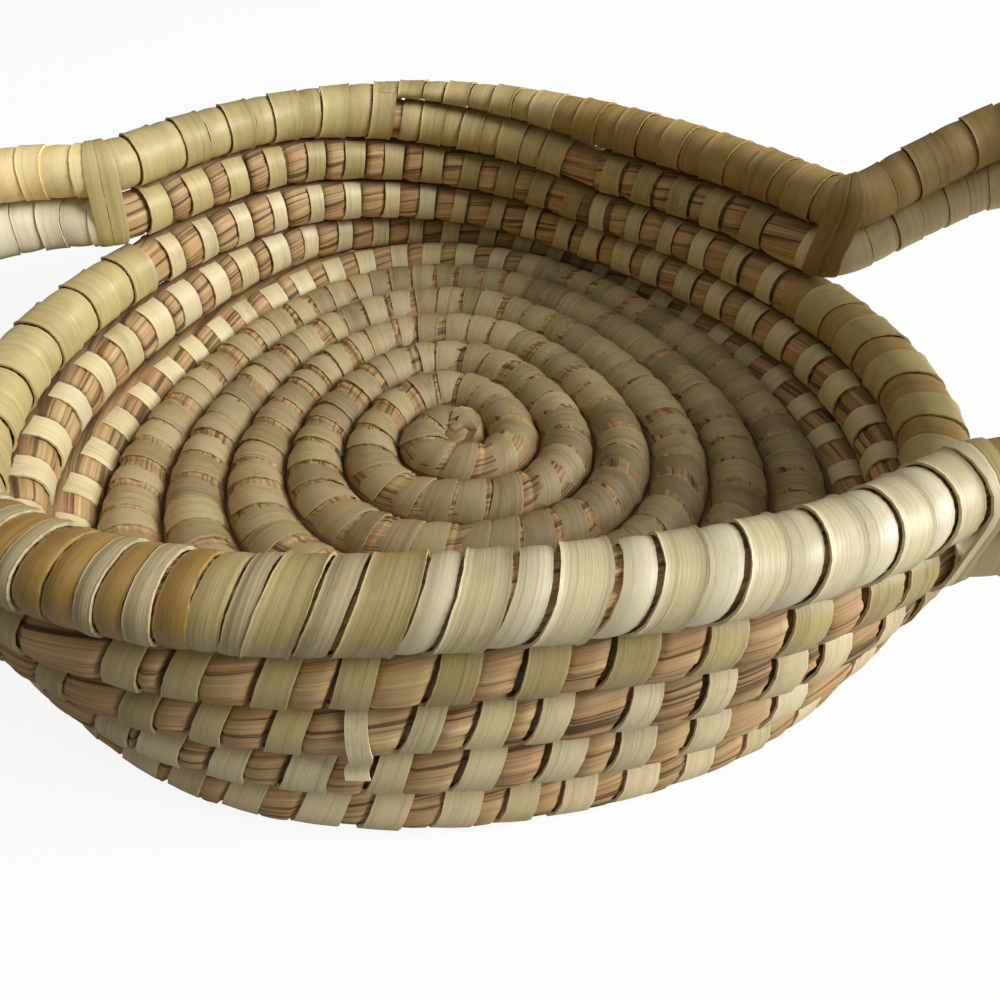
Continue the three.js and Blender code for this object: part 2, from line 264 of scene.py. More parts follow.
class CoilShape:
    """The middle line of the coil as a function of the angle round the basket."""

    def __init__(self, sizes: CoilSizes) -> None:
        """Keeps the sizes."""
        self.sizes = sizes

    def outline_scale(self, angle: float) -> float:
        """Gives the share by which the plan swells or draws in at an angle."""
        sizes = self.sizes
        swell = math.cos((3 * angle + sizes.corner_turn) * DEGREE)
        return 1 + sizes.corner_depth / sizes.edge_radius * swell

    def lean(self, angle: float) -> float:
        """Gives the wall's outward lean at an angle, in radians."""
        sizes = self.sizes
        turn = angle * DEGREE
        across = math.sin(turn) ** 2
        lean = sizes.side_lean + (sizes.end_lean - sizes.side_lean) * across
        return (lean - sizes.left_lean * math.cos(turn) - sizes.corner_lean * math.sin(2 * turn)) * DEGREE

    def row_radius(self, angle: float, row: float) -> float:
        """Gives the radius of a row's middle line."""
        sizes = self.sizes
        radius = sizes.edge_radius * self.outline_scale(angle)
        for index, share in enumerate(sizes.lean_shares):
            climbed = min(max(row - index, 0.0), 1.0)
            radius += sizes.rise * math.sin(self.lean(angle) * share) * climbed
        return radius

    def turns(self, angle: float) -> float:
        """Gives the turns made since the coil left the base."""
        return (angle - self.sizes.climb_start) / 360

    def on_row(self, angle: float, row: int, height: float) -> Array:
        """Gives a place on a row at a height."""
        sizes = self.sizes
        share = sizes.drift_shares[row]
        drift = sizes.pitch * (self.turns(angle) - row + 0.5)
        radius = self.row_radius(angle, row) + share * drift
        turn = angle * DEGREE
        x = share * sizes.spiral_shift[0] + radius * math.cos(turn)
        y = share * sizes.spiral_shift[1] + radius * math.sin(turn)
        return np.array((x, y, height))

    def base(self, angle: float) -> Array:
        """Gives a place on the base's spiral."""
        sizes = self.sizes
        radius = (sizes.edge_radius + sizes.pitch * (self.turns(angle) + 0.5)) * self.outline_scale(angle)
        turn = angle * DEGREE
        x = sizes.spiral_shift[0] + radius * math.cos(turn)
        y = sizes.spiral_shift[1] + radius * math.sin(turn)
        return np.array((x, y, sizes.rest_height))

    def first_climb(self, angle: float, climbed: float) -> Array:
        """Gives a place where the coil rolls up on to the base's edge."""
        sizes = self.sizes
        turn = angle * DEGREE
        reach = sizes.pitch * self.outline_scale(angle) * (1 - climbed / 2)
        out = np.array((math.cos(turn) * reach, math.sin(turn) * reach, sizes.rise * climbed))
        return self.base(angle - 360) + out

    def wall(self, angle: float) -> Array:
        """Gives a place on the rows of the wall."""
        sizes = self.sizes
        row = math.floor(self.turns(angle)) + 1
        past = angle - sizes.climb_start - (row - 1) * 360
        climbed = min(past / sizes.climb_angle, 1.0)
        height = sizes.rest_height + sizes.rise * (row - 1 + climbed)
        if row == 1:
            settled = min(max(past / sizes.climb_angle - 1, 0.0), 1.0)
            start = self.first_climb(angle, climbed)
            return start + (self.on_row(angle, row, height) - start) * settled
        before = self.on_row(angle, row - 1, height)
        return before + (self.on_row(angle, row, height) - before) * climbed

    def bow(self, handle: Handle, turn: int, drop: float, steps: int) -> Array:
        """Gives the places along a handle's bow, its two ends among them.

        Args:
            handle: The handle.
            turn: How many whole turns of the wall lie below it.
            drop: How much less it rises than the handle's upper row.
            steps: How many steps it has between two of its given places.

        Returns:
            The places.
        """
        step = self.sizes.step_angle
        start = self.wall(handle.leave + turn * 360)
        end = self.wall(handle.rejoin + turn * 360)
        along = end - start
        across = np.array((along[1], -along[0], 0.0))
        across /= np.linalg.norm(across)
        points = [self.wall(handle.leave - step + turn * 360), start]
        for along_share, out_share, lift_share in handle.bow:
            point = start + along * along_share + across * handle.reach * out_share
            point[2] += (handle.lift - drop) * lift_share
            points.append(point)
        points += [end, self.wall(handle.rejoin + step + turn * 360)]
        return smooth_line(np.array(points), steps)


def smooth_line(points: Array, steps: int) -> Array:
    """Draws one smooth line through points, without the first and the last stretch.

    Args:
        points: The points, of which the first and last only guide the ends.
        steps: How many steps each stretch has.

    Returns:
        The places along the line.
    """
    places = []
    for index in range(1, len(points) - 2):
        before, start, end, after = points[index - 1 : index + 3]
        first = np.linalg.norm(start - before) ** 0.5
        middle = np.linalg.norm(end - start) ** 0.5
        last = np.linalg.norm(after - end) ** 0.5
        leave = (start - before) / first - (end - before) / (first + middle) + (end - start) / middle
        arrive = (end - start) / middle - (after - start) / (middle + last) + (after - end) / last
        leave = leave * middle
        arrive = arrive * middle
        for share in np.linspace(0, 1, steps, endpoint=False):
            cube = (2 * start - 2 * end + leave + arrive) * share**3
            square = (3 * end - 3 * start - 2 * leave - arrive) * share**2
            places.append(start + leave * share + square + cube)
    places.append(points[-2])
    return np.array(places)


class Route:
    """A stretch of the coil: its middle line, its way out and up, its section and its distances."""

    def __init__(
        self,
        points: Array,
        angles: Array,
        sizes: CoilSizes,
        ease: int,
        square: float,
        square_low: float | None = None,
    ) -> None:
        """Smooths the line and measures it.

        Args:
            points: The places along it.
            angles: The angle round the basket of each place, rising along it.
            sizes: The coil's sizes.
            ease: How many places on each side a kink is eased over.
            square: The power that turns a round section, at one, towards a square one, at nought.
            square_low: The same for its lower half, where it differs.
        """
        self.square = square
        self.square_low = square if square_low is None else square_low
        self.wides = np.full(len(points), sizes.width / 2)
        self.highs = np.full(len(points), sizes.height / 2)
        points = points + np.array((*sizes.shift, 0.0))
        if ease:
            points = eased(points, ease)
        self.points = points
        self.angles = angles
        steps = np.linalg.norm(np.diff(points, axis=0), axis=1)
        self.distances = np.concatenate(((0.0,), np.cumsum(steps)))
        tangents = np.gradient(points, axis=0)
        tangents /= np.linalg.norm(tangents, axis=1)[:, None]
        outs = np.stack((tangents[:, 1], -tangents[:, 0], np.zeros(len(points))), axis=1)
        outs /= np.linalg.norm(outs, axis=1)[:, None]
        self.outs = outs
        self.ups = np.cross(outs, tangents)

    @property
    def length(self) -> float:
        """The whole length along the middle line."""
        return float(self.distances[-1])

    def distance_at(self, angle: float | Array) -> Array:
        """Gives the distance along the line at an angle round the basket."""
        return np.interp(angle, self.angles, self.distances)

    def _between(self, rows: Array, distance: Array) -> Array:
        """Reads rows of three numbers at distances along the line."""
        return np.stack([np.interp(distance, self.distances, rows[:, axis]) for axis in range(3)], axis=-1)

    def on_surface(self, distance: Array, turn: Array, offset: Array) -> Array:
        """Gives points round the coil.

        Args:
            distance: How far along the line each point is.
            turn: The angle round the section, from the way out and through the way up.
            offset: How far outside the coil's full size each point lies.

        Returns:
            The points, with their three coordinates in the last axis.
        """
        middle = self._between(self.points, distance)
        out = self._between(self.outs, distance)
        rising = self._between(self.ups, distance)
        wide = np.interp(distance, self.distances, self.wides) + offset
        high = np.interp(distance, self.distances, self.highs) + offset
        power = np.where(np.sin(turn) > 0, self.square, self.square_low)
        across = np.sign(np.cos(turn)) * np.abs(np.cos(turn)) ** power
        upward = np.sign(np.sin(turn)) * np.abs(np.sin(turn)) ** power
        return middle + out * (wide * across)[..., None] + rising * (high * upward)[..., None]

    def towards(self, out: Array, rising: Array) -> tuple[Array, Array]:
        """Gives how far the section reaches in a direction, and the angle round it there.

        Args:
            out: The direction's share of the way out.
            rising: Its share of the way up.

        Returns:
            The reach and the angle.
        """
        power = np.where(rising > 0, self.square, self.square_low)
        across = np.abs(out / self.wides)
        upward = np.abs(rising / self.highs)
        reach = (across ** (2 / power) + upward ** (2 / power)) ** (-power / 2)
        turn = np.arctan2(np.sign(rising) * upward ** (1 / power), np.sign(out) * across ** (1 / power))
        return reach, turn


@dataclass
class Contact:
    """How a stretch of the coil lies against a neighbour, at each of the stretch's places.

    Attributes:
        turn: The angle round the section at which the neighbour is nearest.
        fill: How far the bundle swells there to close the gap.
    """

    turn: Array
    fill: Array


LEAST_SPAN = 0.01 * MM
PRESSED_IN = 0.08 * MM


def contact(
    own: Route,
    other: Route,
    apart: float,
    share: float = 0.5,
    droop: float = 0.0,
    widest: float = 2.6 * MM,
) -> Contact:
    """Finds how a stretch of the coil lies against another one.

    Args:
        own: The stretch.
        other: The neighbour, which may be the same stretch a turn further on.
        apart: The angle round the basket from a place to its neighbour.
        share: The share of the gap that the bundle closes.
        droop: How far under its middle it does so.
        widest: The widest gap that it closes.

    Returns:
        The contact.
    """
    angles = own.angles + apart
    near = np.stack([np.interp(angles, other.angles, other.points[:, axis]) for axis in range(3)], axis=1)
    away = near - own.points
    out = np.sum(away * own.outs, axis=1)
    rising = np.sum(away * own.ups, axis=1)
    span = np.maximum(np.hypot(out, rising), LEAST_SPAN)
    reach, turn = own.towards(out / span, rising / span)
    other_reach, _ = own.towards(-out / span, -rising / span)
    gap = span - reach - other_reach
    beside = (angles >= other.angles[0]) & (angles <= other.angles[-1]) & (gap < widest)
    fill = np.where(beside, np.clip(gap, 0, None) * share + PRESSED_IN, 0.0)
    turn = np.where(beside, turn - droop * np.sign(np.cos(turn)), 0.0)
    return Contact(np.unwrap(turn), fill)


def eased(points: Array, reach: int) -> Array:
    """Evens out kinks in a line with a moving average, and keeps its ends."""
    padded = np.concatenate((
        points[:1] - (points[1 : reach + 1][::-1] - points[:1]),
        points,
        points[-1:] - (points[-reach - 1 : -1][::-1] - points[-1:]),
    ))
    weights = np.hanning(2 * reach + 3)[1:-1]
    weights /= weights.sum()
    return np.stack([np.convolve(padded[:, axis], weights, mode="valid") for axis in range(3)], axis=1)


@dataclass
class HandleRow:
    """A row with a bow at each side, which starts and ends at two distances along its route."""

    route: Route
    bows: dict[Side, tuple[float, float]]


@dataclass
class CoilRoutes:
    """The routes of the coil's four lengths, and of the rim that one strip binds to the tail.

    Attributes:
        step: The angle between two places of a route.
        bow_steps: How many steps a bow has between two of its given places.
        ease: How many places on each side a kink is eased over.
        eye_radius: Where the spiral starts, less than nought to close the eye.
    """

    sizes: CoilSizes
    step: float = 1.5
    bow_steps: int = 14
    ease: int = 5
    eye_radius: float = -1.6 * MM
    base_squares: Range = (1.08, 0.8)
    wall_square: float = 0.8
    upper_square: float = 0.86
    rim_square: float = 0.94
    tail_spare: float = 6.0
    tail_least: float = 0.9 * MM
    cover_lead: float = 4.0
    cover_spare: float = 12 * MM

    def __post_init__(self) -> None:
        """Lays out each length."""
        sizes = self.sizes
        last = sizes.climb_start + 360
        self.shape = CoilShape(sizes)
        self.base = self._base()
        self.wall = self._wall()
        self.upper = self._handle_row(2, last, sizes.bow_drop, self.upper_square)
        last = last + sizes.tail_angle + self.tail_spare
        self.rim = self._handle_row(sizes.rim_row - 1, last, 0.0, self.rim_square)
        self.cover, self.cover_end = self._cover()

    def _cover(self) -> tuple[Route, float]:
        """Lays out the rim from the tail's end on, where one strip binds the tail and the coil.

        Returns:
            The route, and how far along it the left handle leaves the wall.
        """
        sizes = self.sizes
        rim = self.rim.route
        leaves = self.rim.bows[Side.LEFT][0]
        first = sizes.climb_start + sizes.tail_angle - self.cover_lead
        kept = (rim.angles >= first) & (rim.distances <= leaves + self.cover_spare)
        points = rim.points[kept] - np.array((*sizes.shift, 0.0))
        cover = Route(points, rim.angles[kept], sizes, 0, rim.square)
        spare = np.clip(sizes.top - cover.points[:, 2] - sizes.height / 2, 0, None)
        cover.points[:, 2] += spare / 2
        cover.highs = cover.highs + spare / 2
        return cover, cover.length - (float(rim.distances[kept][-1]) - leaves)

    def _base(self) -> Route:
        """Lays out the flat spiral."""
        sizes = self.sizes
        turns = (sizes.edge_radius - self.eye_radius) / sizes.pitch + 0.5
        steps = round(turns * 360 / self.step)
        angles = sizes.climb_start + (np.arange(steps + 1) - steps) * self.step
        points = np.array([self.shape.base(angle) for angle in angles])
        return Route(points, angles, sizes, 0, *self.base_squares)

    def _wall(self) -> Route:
        """Lays out the first two rows of the wall."""
        sizes = self.sizes
        angles = np.arange(0, 720 + self.step, self.step) + sizes.climb_start
        points = np.array([self.shape.wall(min(angle, sizes.climb_start + 719.99)) for angle in angles])
        return Route(points, angles, sizes, self.ease, self.wall_square)

    def _row_place(self, angle: float, turn: int) -> Array:
        """Gives a place on a handle row, with the tail over the last climb."""
        sizes = self.sizes
        past = angle - sizes.climb_start - 360
        if past <= 0 or turn < sizes.rim_row - 1:
            return self.shape.wall(min(angle, sizes.climb_start + 359.99) + turn * 360)
        wedge = sizes.height - sizes.rise * past / sizes.climb_angle
        return self.shape.on_row(angle - 360, sizes.rim_row, sizes.top - wedge / 2)

    def _handle_row(self, turn: int, last: float, drop: float, square: float) -> HandleRow:
        """Lays out a row with its two bows.

        Args:
            turn: How many whole turns of the wall lie below it.
            last: The angle at which it ends.
            drop: How much less its bows rise than the rim's.
            square: How round it is, as Route takes it.

        Returns:
            The row.
        """
        sizes = self.sizes
        points = []
        angles = []
        ends = {}
        start = sizes.climb_start
        for side, handle in sizes.handles.items():
            for angle in np.arange(start, handle.leave, self.step):
                points.append(self._row_place(float(angle), turn))
                angles.append(float(angle))
            bow = self.shape.bow(handle, turn, drop, self.bow_steps)
            ends[side] = (len(points), len(points) + len(bow) - 1)
            points.extend(bow)
            angles.extend(np.linspace(handle.leave, handle.rejoin, len(bow)))
            start = handle.rejoin + self.step
        for angle in np.arange(start, last + self.step / 2, self.step):
            points.append(self._row_place(float(angle), turn))
            angles.append(float(angle))
        route = Route(np.array(points), np.array(angles), sizes, self.ease, square)
        if turn == sizes.rim_row - 1:
            past = np.clip(route.angles - sizes.climb_start - 360, 0, None)
            wedge = sizes.height - sizes.rise * np.minimum(past / sizes.climb_angle, 1)
            route.highs = np.where(past > 0, np.maximum(wedge / 2, self.tail_least), route.highs)
            route.wides = route.wides * (1 - 0.5 * past / sizes.climb_angle)
        bows = {side: tuple(float(route.distances[end]) for end in pair) for side, pair in ends.items()}
        return HandleRow(route, bows)


# Meshes


def deselect() -> None:
    """Leaves nothing selected."""
    bpy.ops.object.select_all(action="DESELECT")


def put_in_place(mesh_object: Piece, points: Array) -> None:
    """Writes a mesh's points, flattened to rows of three."""
    mesh_object.data.vertices.foreach_set("co", np.ascontiguousarray(points, dtype=np.float32).ravel())
    mesh_object.data.update()


def read_points(mesh_object: Piece) -> Array:
    """Reads a mesh's points as rows of three."""
    found = np.empty(len(mesh_object.data.vertices) * 3, dtype=np.float32)
    mesh_object.data.vertices.foreach_get("co", found)
    return found.reshape(-1, 3).astype(np.float64)


def add_number(mesh: bpy.types.Mesh, name: str, values: Array) -> None:
    """Keeps one number for each point of a mesh as an attribute."""
    layer = mesh.attributes.new(name, "FLOAT", "POINT")
    layer.data.foreach_set("value", np.ascontiguousarray(values, dtype=np.float32))


def add_vector(mesh: bpy.types.Mesh, name: str, values: Array) -> None:
    """Keeps one vector for each point of a mesh as an attribute."""
    layer = mesh.attributes.new(name, "FLOAT_VECTOR", "POINT")
    layer.data.foreach_set("vector", np.ascontiguousarray(values, dtype=np.float32).ravel())


def new_sheet(name: str, along: int, across: int) -> Piece:
    """Adds a flat sheet one unit square, divided both ways, with its middle at the origin."""
    deselect()
    bpy.ops.mesh.primitive_grid_add(x_subdivisions=along, y_subdivisions=across, size=1, calc_uvs=False)
    sheet = bpy.context.object
    sheet.name = name
    sheet.data.name = name
    return sheet


def close_tube(tube: Piece) -> None:
    """Welds the long seam of a rolled sheet, fills its two ends and turns its faces outwards."""
    deselect()
    tube.select_set(True)
    bpy.context.view_layer.objects.active = tube
    bpy.ops.object.mode_set(mode="EDIT")
    bpy.ops.mesh.select_all(action="SELECT")
    bpy.ops.mesh.remove_doubles(threshold=WELD_DISTANCE)
    bpy.ops.mesh.select_all(action="DESELECT")
    bpy.ops.mesh.select_non_manifold()
    bpy.ops.mesh.edge_face_add()
    bpy.ops.mesh.select_all(action="SELECT")
    bpy.ops.mesh.normals_make_consistent(inside=False)
    bpy.ops.object.mode_set(mode="OBJECT")
    bpy.ops.object.shade_smooth()
    deselect()


@dataclass
class Template:
    """A strip that is modelled once and laid down many times."""

    points: Array
    faces: list[tuple[int, ...]]

    @property
    def along(self) -> Array:
        """How far along the strip each point lies, from nought to one."""
        return self.points[:, 0]

    @property
    def across(self) -> Array:
        """How far from its middle each point lies, from minus one at one edge to one at the other."""
        return self.points[:, 1]

    @property
    def raised(self) -> Array:
        """Nought for the points of its underside and one for those of its upper side."""
        return self.points[:, 2]


def strip_template(along: int, across: int, crowd: float) -> Template:
    """Models a flat strip: one unit long, two wide and one thick, closed all round.

    Args:
        along: How many steps it has along its length.
        across: How many steps it has across its width.
        crowd: The power, one or less, that crowds these steps towards its edges.

    Returns:
        Its points and its faces.
    """
    sheet = new_sheet("strip_pattern", along, across)
    bpy.context.view_layer.objects.active = sheet
    thick = sheet.modifiers.new("thick", "SOLIDIFY")
    thick.thickness = 1.0
    thick.offset = 1.0
    bpy.ops.object.modifier_apply(modifier=thick.name)
    points = read_points(sheet)
    points[:, 0] += 0.5
    points[:, 1] = np.sign(points[:, 1]) * np.abs(points[:, 1] * 2) ** crowd
    faces = [tuple(face.vertices) for face in sheet.data.polygons]
    bpy.data.objects.remove(sheet, do_unlink=True)
    return Template(points, faces)


def copies_mesh(name: str, places: Array, faces: list[tuple[int, ...]]) -> Piece:
    """Joins many copies of a shape in one mesh.

    Args:
        name: The name of the new piece.
        places: The points of each copy, one copy in each row.
        faces: The faces of one copy.

    Returns:
        The new piece.
    """
    count, size, _ = places.shape
    counts = np.array([len(face) for face in faces])
    loops = np.concatenate([np.array(face) for face in faces])
    all_loops = (loops[None, :] + (np.arange(count) * size)[:, None]).ravel()
    all_counts = np.tile(counts, count)
    starts = np.concatenate(((0,), np.cumsum(all_counts)[:-1]))
    mesh = bpy.data.meshes.new(name)
    mesh.vertices.add(count * size)
    mesh.vertices.foreach_set("co", np.ascontiguousarray(places, dtype=np.float32).ravel())
    mesh.loops.add(len(all_loops))
    mesh.loops.foreach_set("vertex_index", all_loops.astype(np.int32))
    mesh.polygons.add(len(all_counts))
    mesh.polygons.foreach_set("loop_start", starts.astype(np.int32))
    mesh.polygons.foreach_set("loop_total", all_counts.astype(np.int32))
    mesh.update(calc_edges=True)
    piece = bpy.data.objects.new(name, mesh)
    bpy.context.collection.objects.link(piece)
    deselect()
    piece.select_set(True)
    bpy.context.view_layer.objects.active = piece
    bpy.ops.object.shade_smooth_by_angle(angle=SMOOTH_ANGLE)
    deselect()
    return piece


# Shader nodes


@dataclass(frozen=True)
class Grain:
    """A noise pattern: how fine it is along, across and through a strip or a bundle, and its detail."""

    scale: Place
    detail: float
    roughness: float = 0.5


LEAF_FIBRES = Grain((40, 2600, 1), 2.0, 0.6)
LEAF_VEINS = Grain((16, 900, 1), 1.0)
LEAF_STAINS = Grain((110, 190, 1), 3.0, 0.6)
LEAF_FRAY = Grain((900, 4200, 1), 2.0)
GRASS_STEMS = Grain((16, 800, 800), 2.0, 0.55)
GRASS_THREADS = Grain((36, 3000, 3000), 2.0, 0.6)
GRASS_PATCHES = Grain((60, 260, 260), 2.0)


class Nodes:
    """Adds and joins nodes in one node tree."""

    def __init__(self, tree: Tree) -> None:
        """Keeps the tree."""
        self.tree = tree

    def add(self, kind: str, **settings: object) -> Node:
        """Adds a node and gives it its settings."""
        node = self.tree.nodes.new(kind)
        for name, value in settings.items():
            setattr(node, name, value)
        return node

    def put(self, target: Socket, value: object) -> None:
        """Feeds an input from another node's output, or with a value."""
        if isinstance(value, Socket):
            self.tree.links.new(value, target)
        elif isinstance(value, tuple) and len(value) == 3 and target.type == "RGBA":
            target.default_value = (*value, 1.0)
        else:
            target.default_value = value

    def maths(self, operation: str, *values: object, clamp: bool = False) -> Socket:
        """Adds a sum and returns its result."""
        node = self.add("ShaderNodeMath", operation=operation, use_clamp=clamp)
        for target, value in zip(node.inputs, values):
            self.put(target, value)
        return node.outputs[0]

    def mix(self, share: object, first: object, second: object) -> Socket:
        """Mixes two colours by a share and returns the colour."""
        node = self.add("ShaderNodeMix", data_type="RGBA")
        self.put(node.inputs["Factor"], share)
        self.put(node.inputs["A"], first)
        self.put(node.inputs["B"], second)
        sockets = [socket for socket in node.outputs if socket.type == "RGBA"]
        return sockets[0]

    def weighted(self, share: float, first: object, second: object) -> Socket:
        """Adds two values, the first by a share and the second by what is left of one."""
        first = self.maths("MULTIPLY", first, share)
        return self.maths("ADD", first, self.maths("MULTIPLY", second, 1 - share))

    def spread(self, value: object, low: float, high: float) -> Socket:
        """Stretches a range of values over nought to one."""
        node = self.add("ShaderNodeMapRange")
        self.put(node.inputs["Value"], value)
        node.inputs["From Min"].default_value = low
        node.inputs["From Max"].default_value = high
        return node.outputs["Result"]

    def attribute(self, name: str, output: str) -> Socket:
        """Reads an attribute of the mesh, as the named output."""
        return self.add("ShaderNodeAttribute", attribute_name=name).outputs[output]

    def noise(self, place: object, grain: Grain) -> Socket:
        """Adds a noise pattern at a place and returns its value."""
        stretched = self.add("ShaderNodeVectorMath", operation="MULTIPLY")
        self.put(stretched.inputs[0], place)
        stretched.inputs[1].default_value = grain.scale
        node = self.add("ShaderNodeTexNoise")
        self.put(node.inputs["Vector"], stretched.outputs[0])
        node.inputs["Scale"].default_value = 1.0
        node.inputs["Detail"].default_value = grain.detail
        node.inputs["Roughness"].default_value = grain.roughness
        return node.outputs["Fac"]


def new_group(
    name: str,
    takes: dict[str, str],
    gives: dict[str, str],
) -> tuple[Tree, Nodes]:
    """Starts a shader node group with named sockets.

    Args:
        name: The name of the group.
        takes: The kind of each input, by its name.
        gives: The kind of each output, by its name.

    Returns:
        The group and a helper for its nodes.
    """
    group = bpy.data.node_groups.new(name, "ShaderNodeTree")
    for title, kind in takes.items():
        group.interface.new_socket(name=title, in_out="INPUT", socket_type=kind)
    for title, kind in gives.items():
        group.interface.new_socket(name=title, in_out="OUTPUT", socket_type=kind)
    return group, Nodes(group)


def leaf_group() -> Tree:
    """Builds the pattern of a dried palm strip.

    Returns:
        A group that takes a place on the strip, how near its edge that is, the strip's tint (its own
        tone, with painted shade on the front rim's left and painted light on the handles) and its
        three colours, and gives a colour, a height and a sheen mask.
    """
    takes = {
        "Place": "NodeSocketVector",
        "Edge": "NodeSocketFloat",
        "Tint": "NodeSocketFloat",
        "Dark": "NodeSocketColor",
        "Middle": "NodeSocketColor",
        "Light": "NodeSocketColor",
    }
    gives = {"Colour": "NodeSocketColor", "Height": "NodeSocketFloat", "Dullness": "NodeSocketFloat"}
    group, nodes = new_group("dried_leaf", takes, gives)
    source = nodes.add("NodeGroupInput").outputs
    place = source["Place"]
    fibres = nodes.noise(place, LEAF_FIBRES)
    veins = nodes.noise(place, LEAF_VEINS)
    stains = nodes.noise(place, LEAF_STAINS)
    fray = nodes.noise(place, LEAF_FRAY)
    lines = nodes.weighted(0.6, fibres, veins)
    raised = nodes.spread(lines, 0.34, 0.66)
    edge = nodes.maths("ABSOLUTE", source["Edge"])
    rim = nodes.spread(edge, 0.89, 0.97)
    body = nodes.mix(nodes.maths("MULTIPLY", raised, 0.55), source["Middle"], source["Light"])
    hollow = nodes.maths("MULTIPLY", nodes.spread(lines, 0.46, 0.3), 0.55)
    body = nodes.mix(hollow, body, source["Dark"])
    stained = nodes.maths("MULTIPLY", nodes.spread(stains, 0.52, 0.74), 0.5)
    body = nodes.mix(stained, body, source["Dark"])
    shaded = nodes.mix(nodes.maths("MULTIPLY", source["Tint"], 0.45), body, source["Light"])
    # Low tints darken the strip: its own tone, and the painted shade on the left of the front rim.
    darkened_by_tint = nodes.maths("MULTIPLY", nodes.maths("SUBTRACT", 0.5, source["Tint"], clamp=True), 0.8)
    shaded = nodes.mix(darkened_by_tint, shaded, source["Dark"])
    ragged = nodes.maths("MULTIPLY", rim, nodes.spread(fray, 0.3, 0.6))
    colour = nodes.mix(nodes.maths("MULTIPLY", ragged, 0.75), shaded, source["Light"])
    height = nodes.maths("ADD", lines, nodes.maths("MULTIPLY", fray, 0.18))
    target = nodes.add("NodeGroupOutput").inputs
    nodes.put(target["Colour"], colour)
    nodes.put(target["Height"], height)
    nodes.put(target["Dullness"], nodes.maths("MULTIPLY_ADD", raised, 0.16, stained))
    return group


def grass_group() -> Tree:
    """Builds the pattern of bundled grass stems.

    Returns:
        A group that takes a place along and round the bundle, how much painted shade it has there
        (in the crevices beside the stitches and along its seams with its neighbours) and four
        colours, and gives a colour and a height.
    """
    takes = {
        "Place": "NodeSocketVector",
        "Depth": "NodeSocketFloat",
        "Shade": "NodeSocketColor",
        "Stem": "NodeSocketColor",
        "Blush": "NodeSocketColor",
        "Pale": "NodeSocketColor",
    }
    gives = {"Colour": "NodeSocketColor", "Height": "NodeSocketFloat"}
    group, nodes = new_group("bundled_grass", takes, gives)
    source = nodes.add("NodeGroupInput").outputs
    place = source["Place"]
    stems = nodes.noise(place, GRASS_STEMS)
    threads = nodes.noise(place, GRASS_THREADS)
    patches = nodes.noise(place, GRASS_PATCHES)
    lines = nodes.weighted(0.65, stems, threads)
    body = nodes.mix(nodes.spread(patches, 0.4, 0.62), source["Stem"], source["Blush"])
    body = nodes.mix(nodes.maths("MULTIPLY", nodes.spread(lines, 0.52, 0.68), 0.8), body, source["Pale"])
    body = nodes.mix(nodes.maths("MULTIPLY", nodes.spread(lines, 0.485, 0.4), 0.85), body, source["Shade"])
    # Painted shade: the crevices and seams are darkened towards the shade colour.
    body = nodes.mix(nodes.maths("MULTIPLY", source["Depth"], 0.85), body, source["Shade"])
    target = nodes.add("NodeGroupOutput").inputs
    nodes.put(target["Colour"], body)
    nodes.put(target["Height"], lines)
    return group


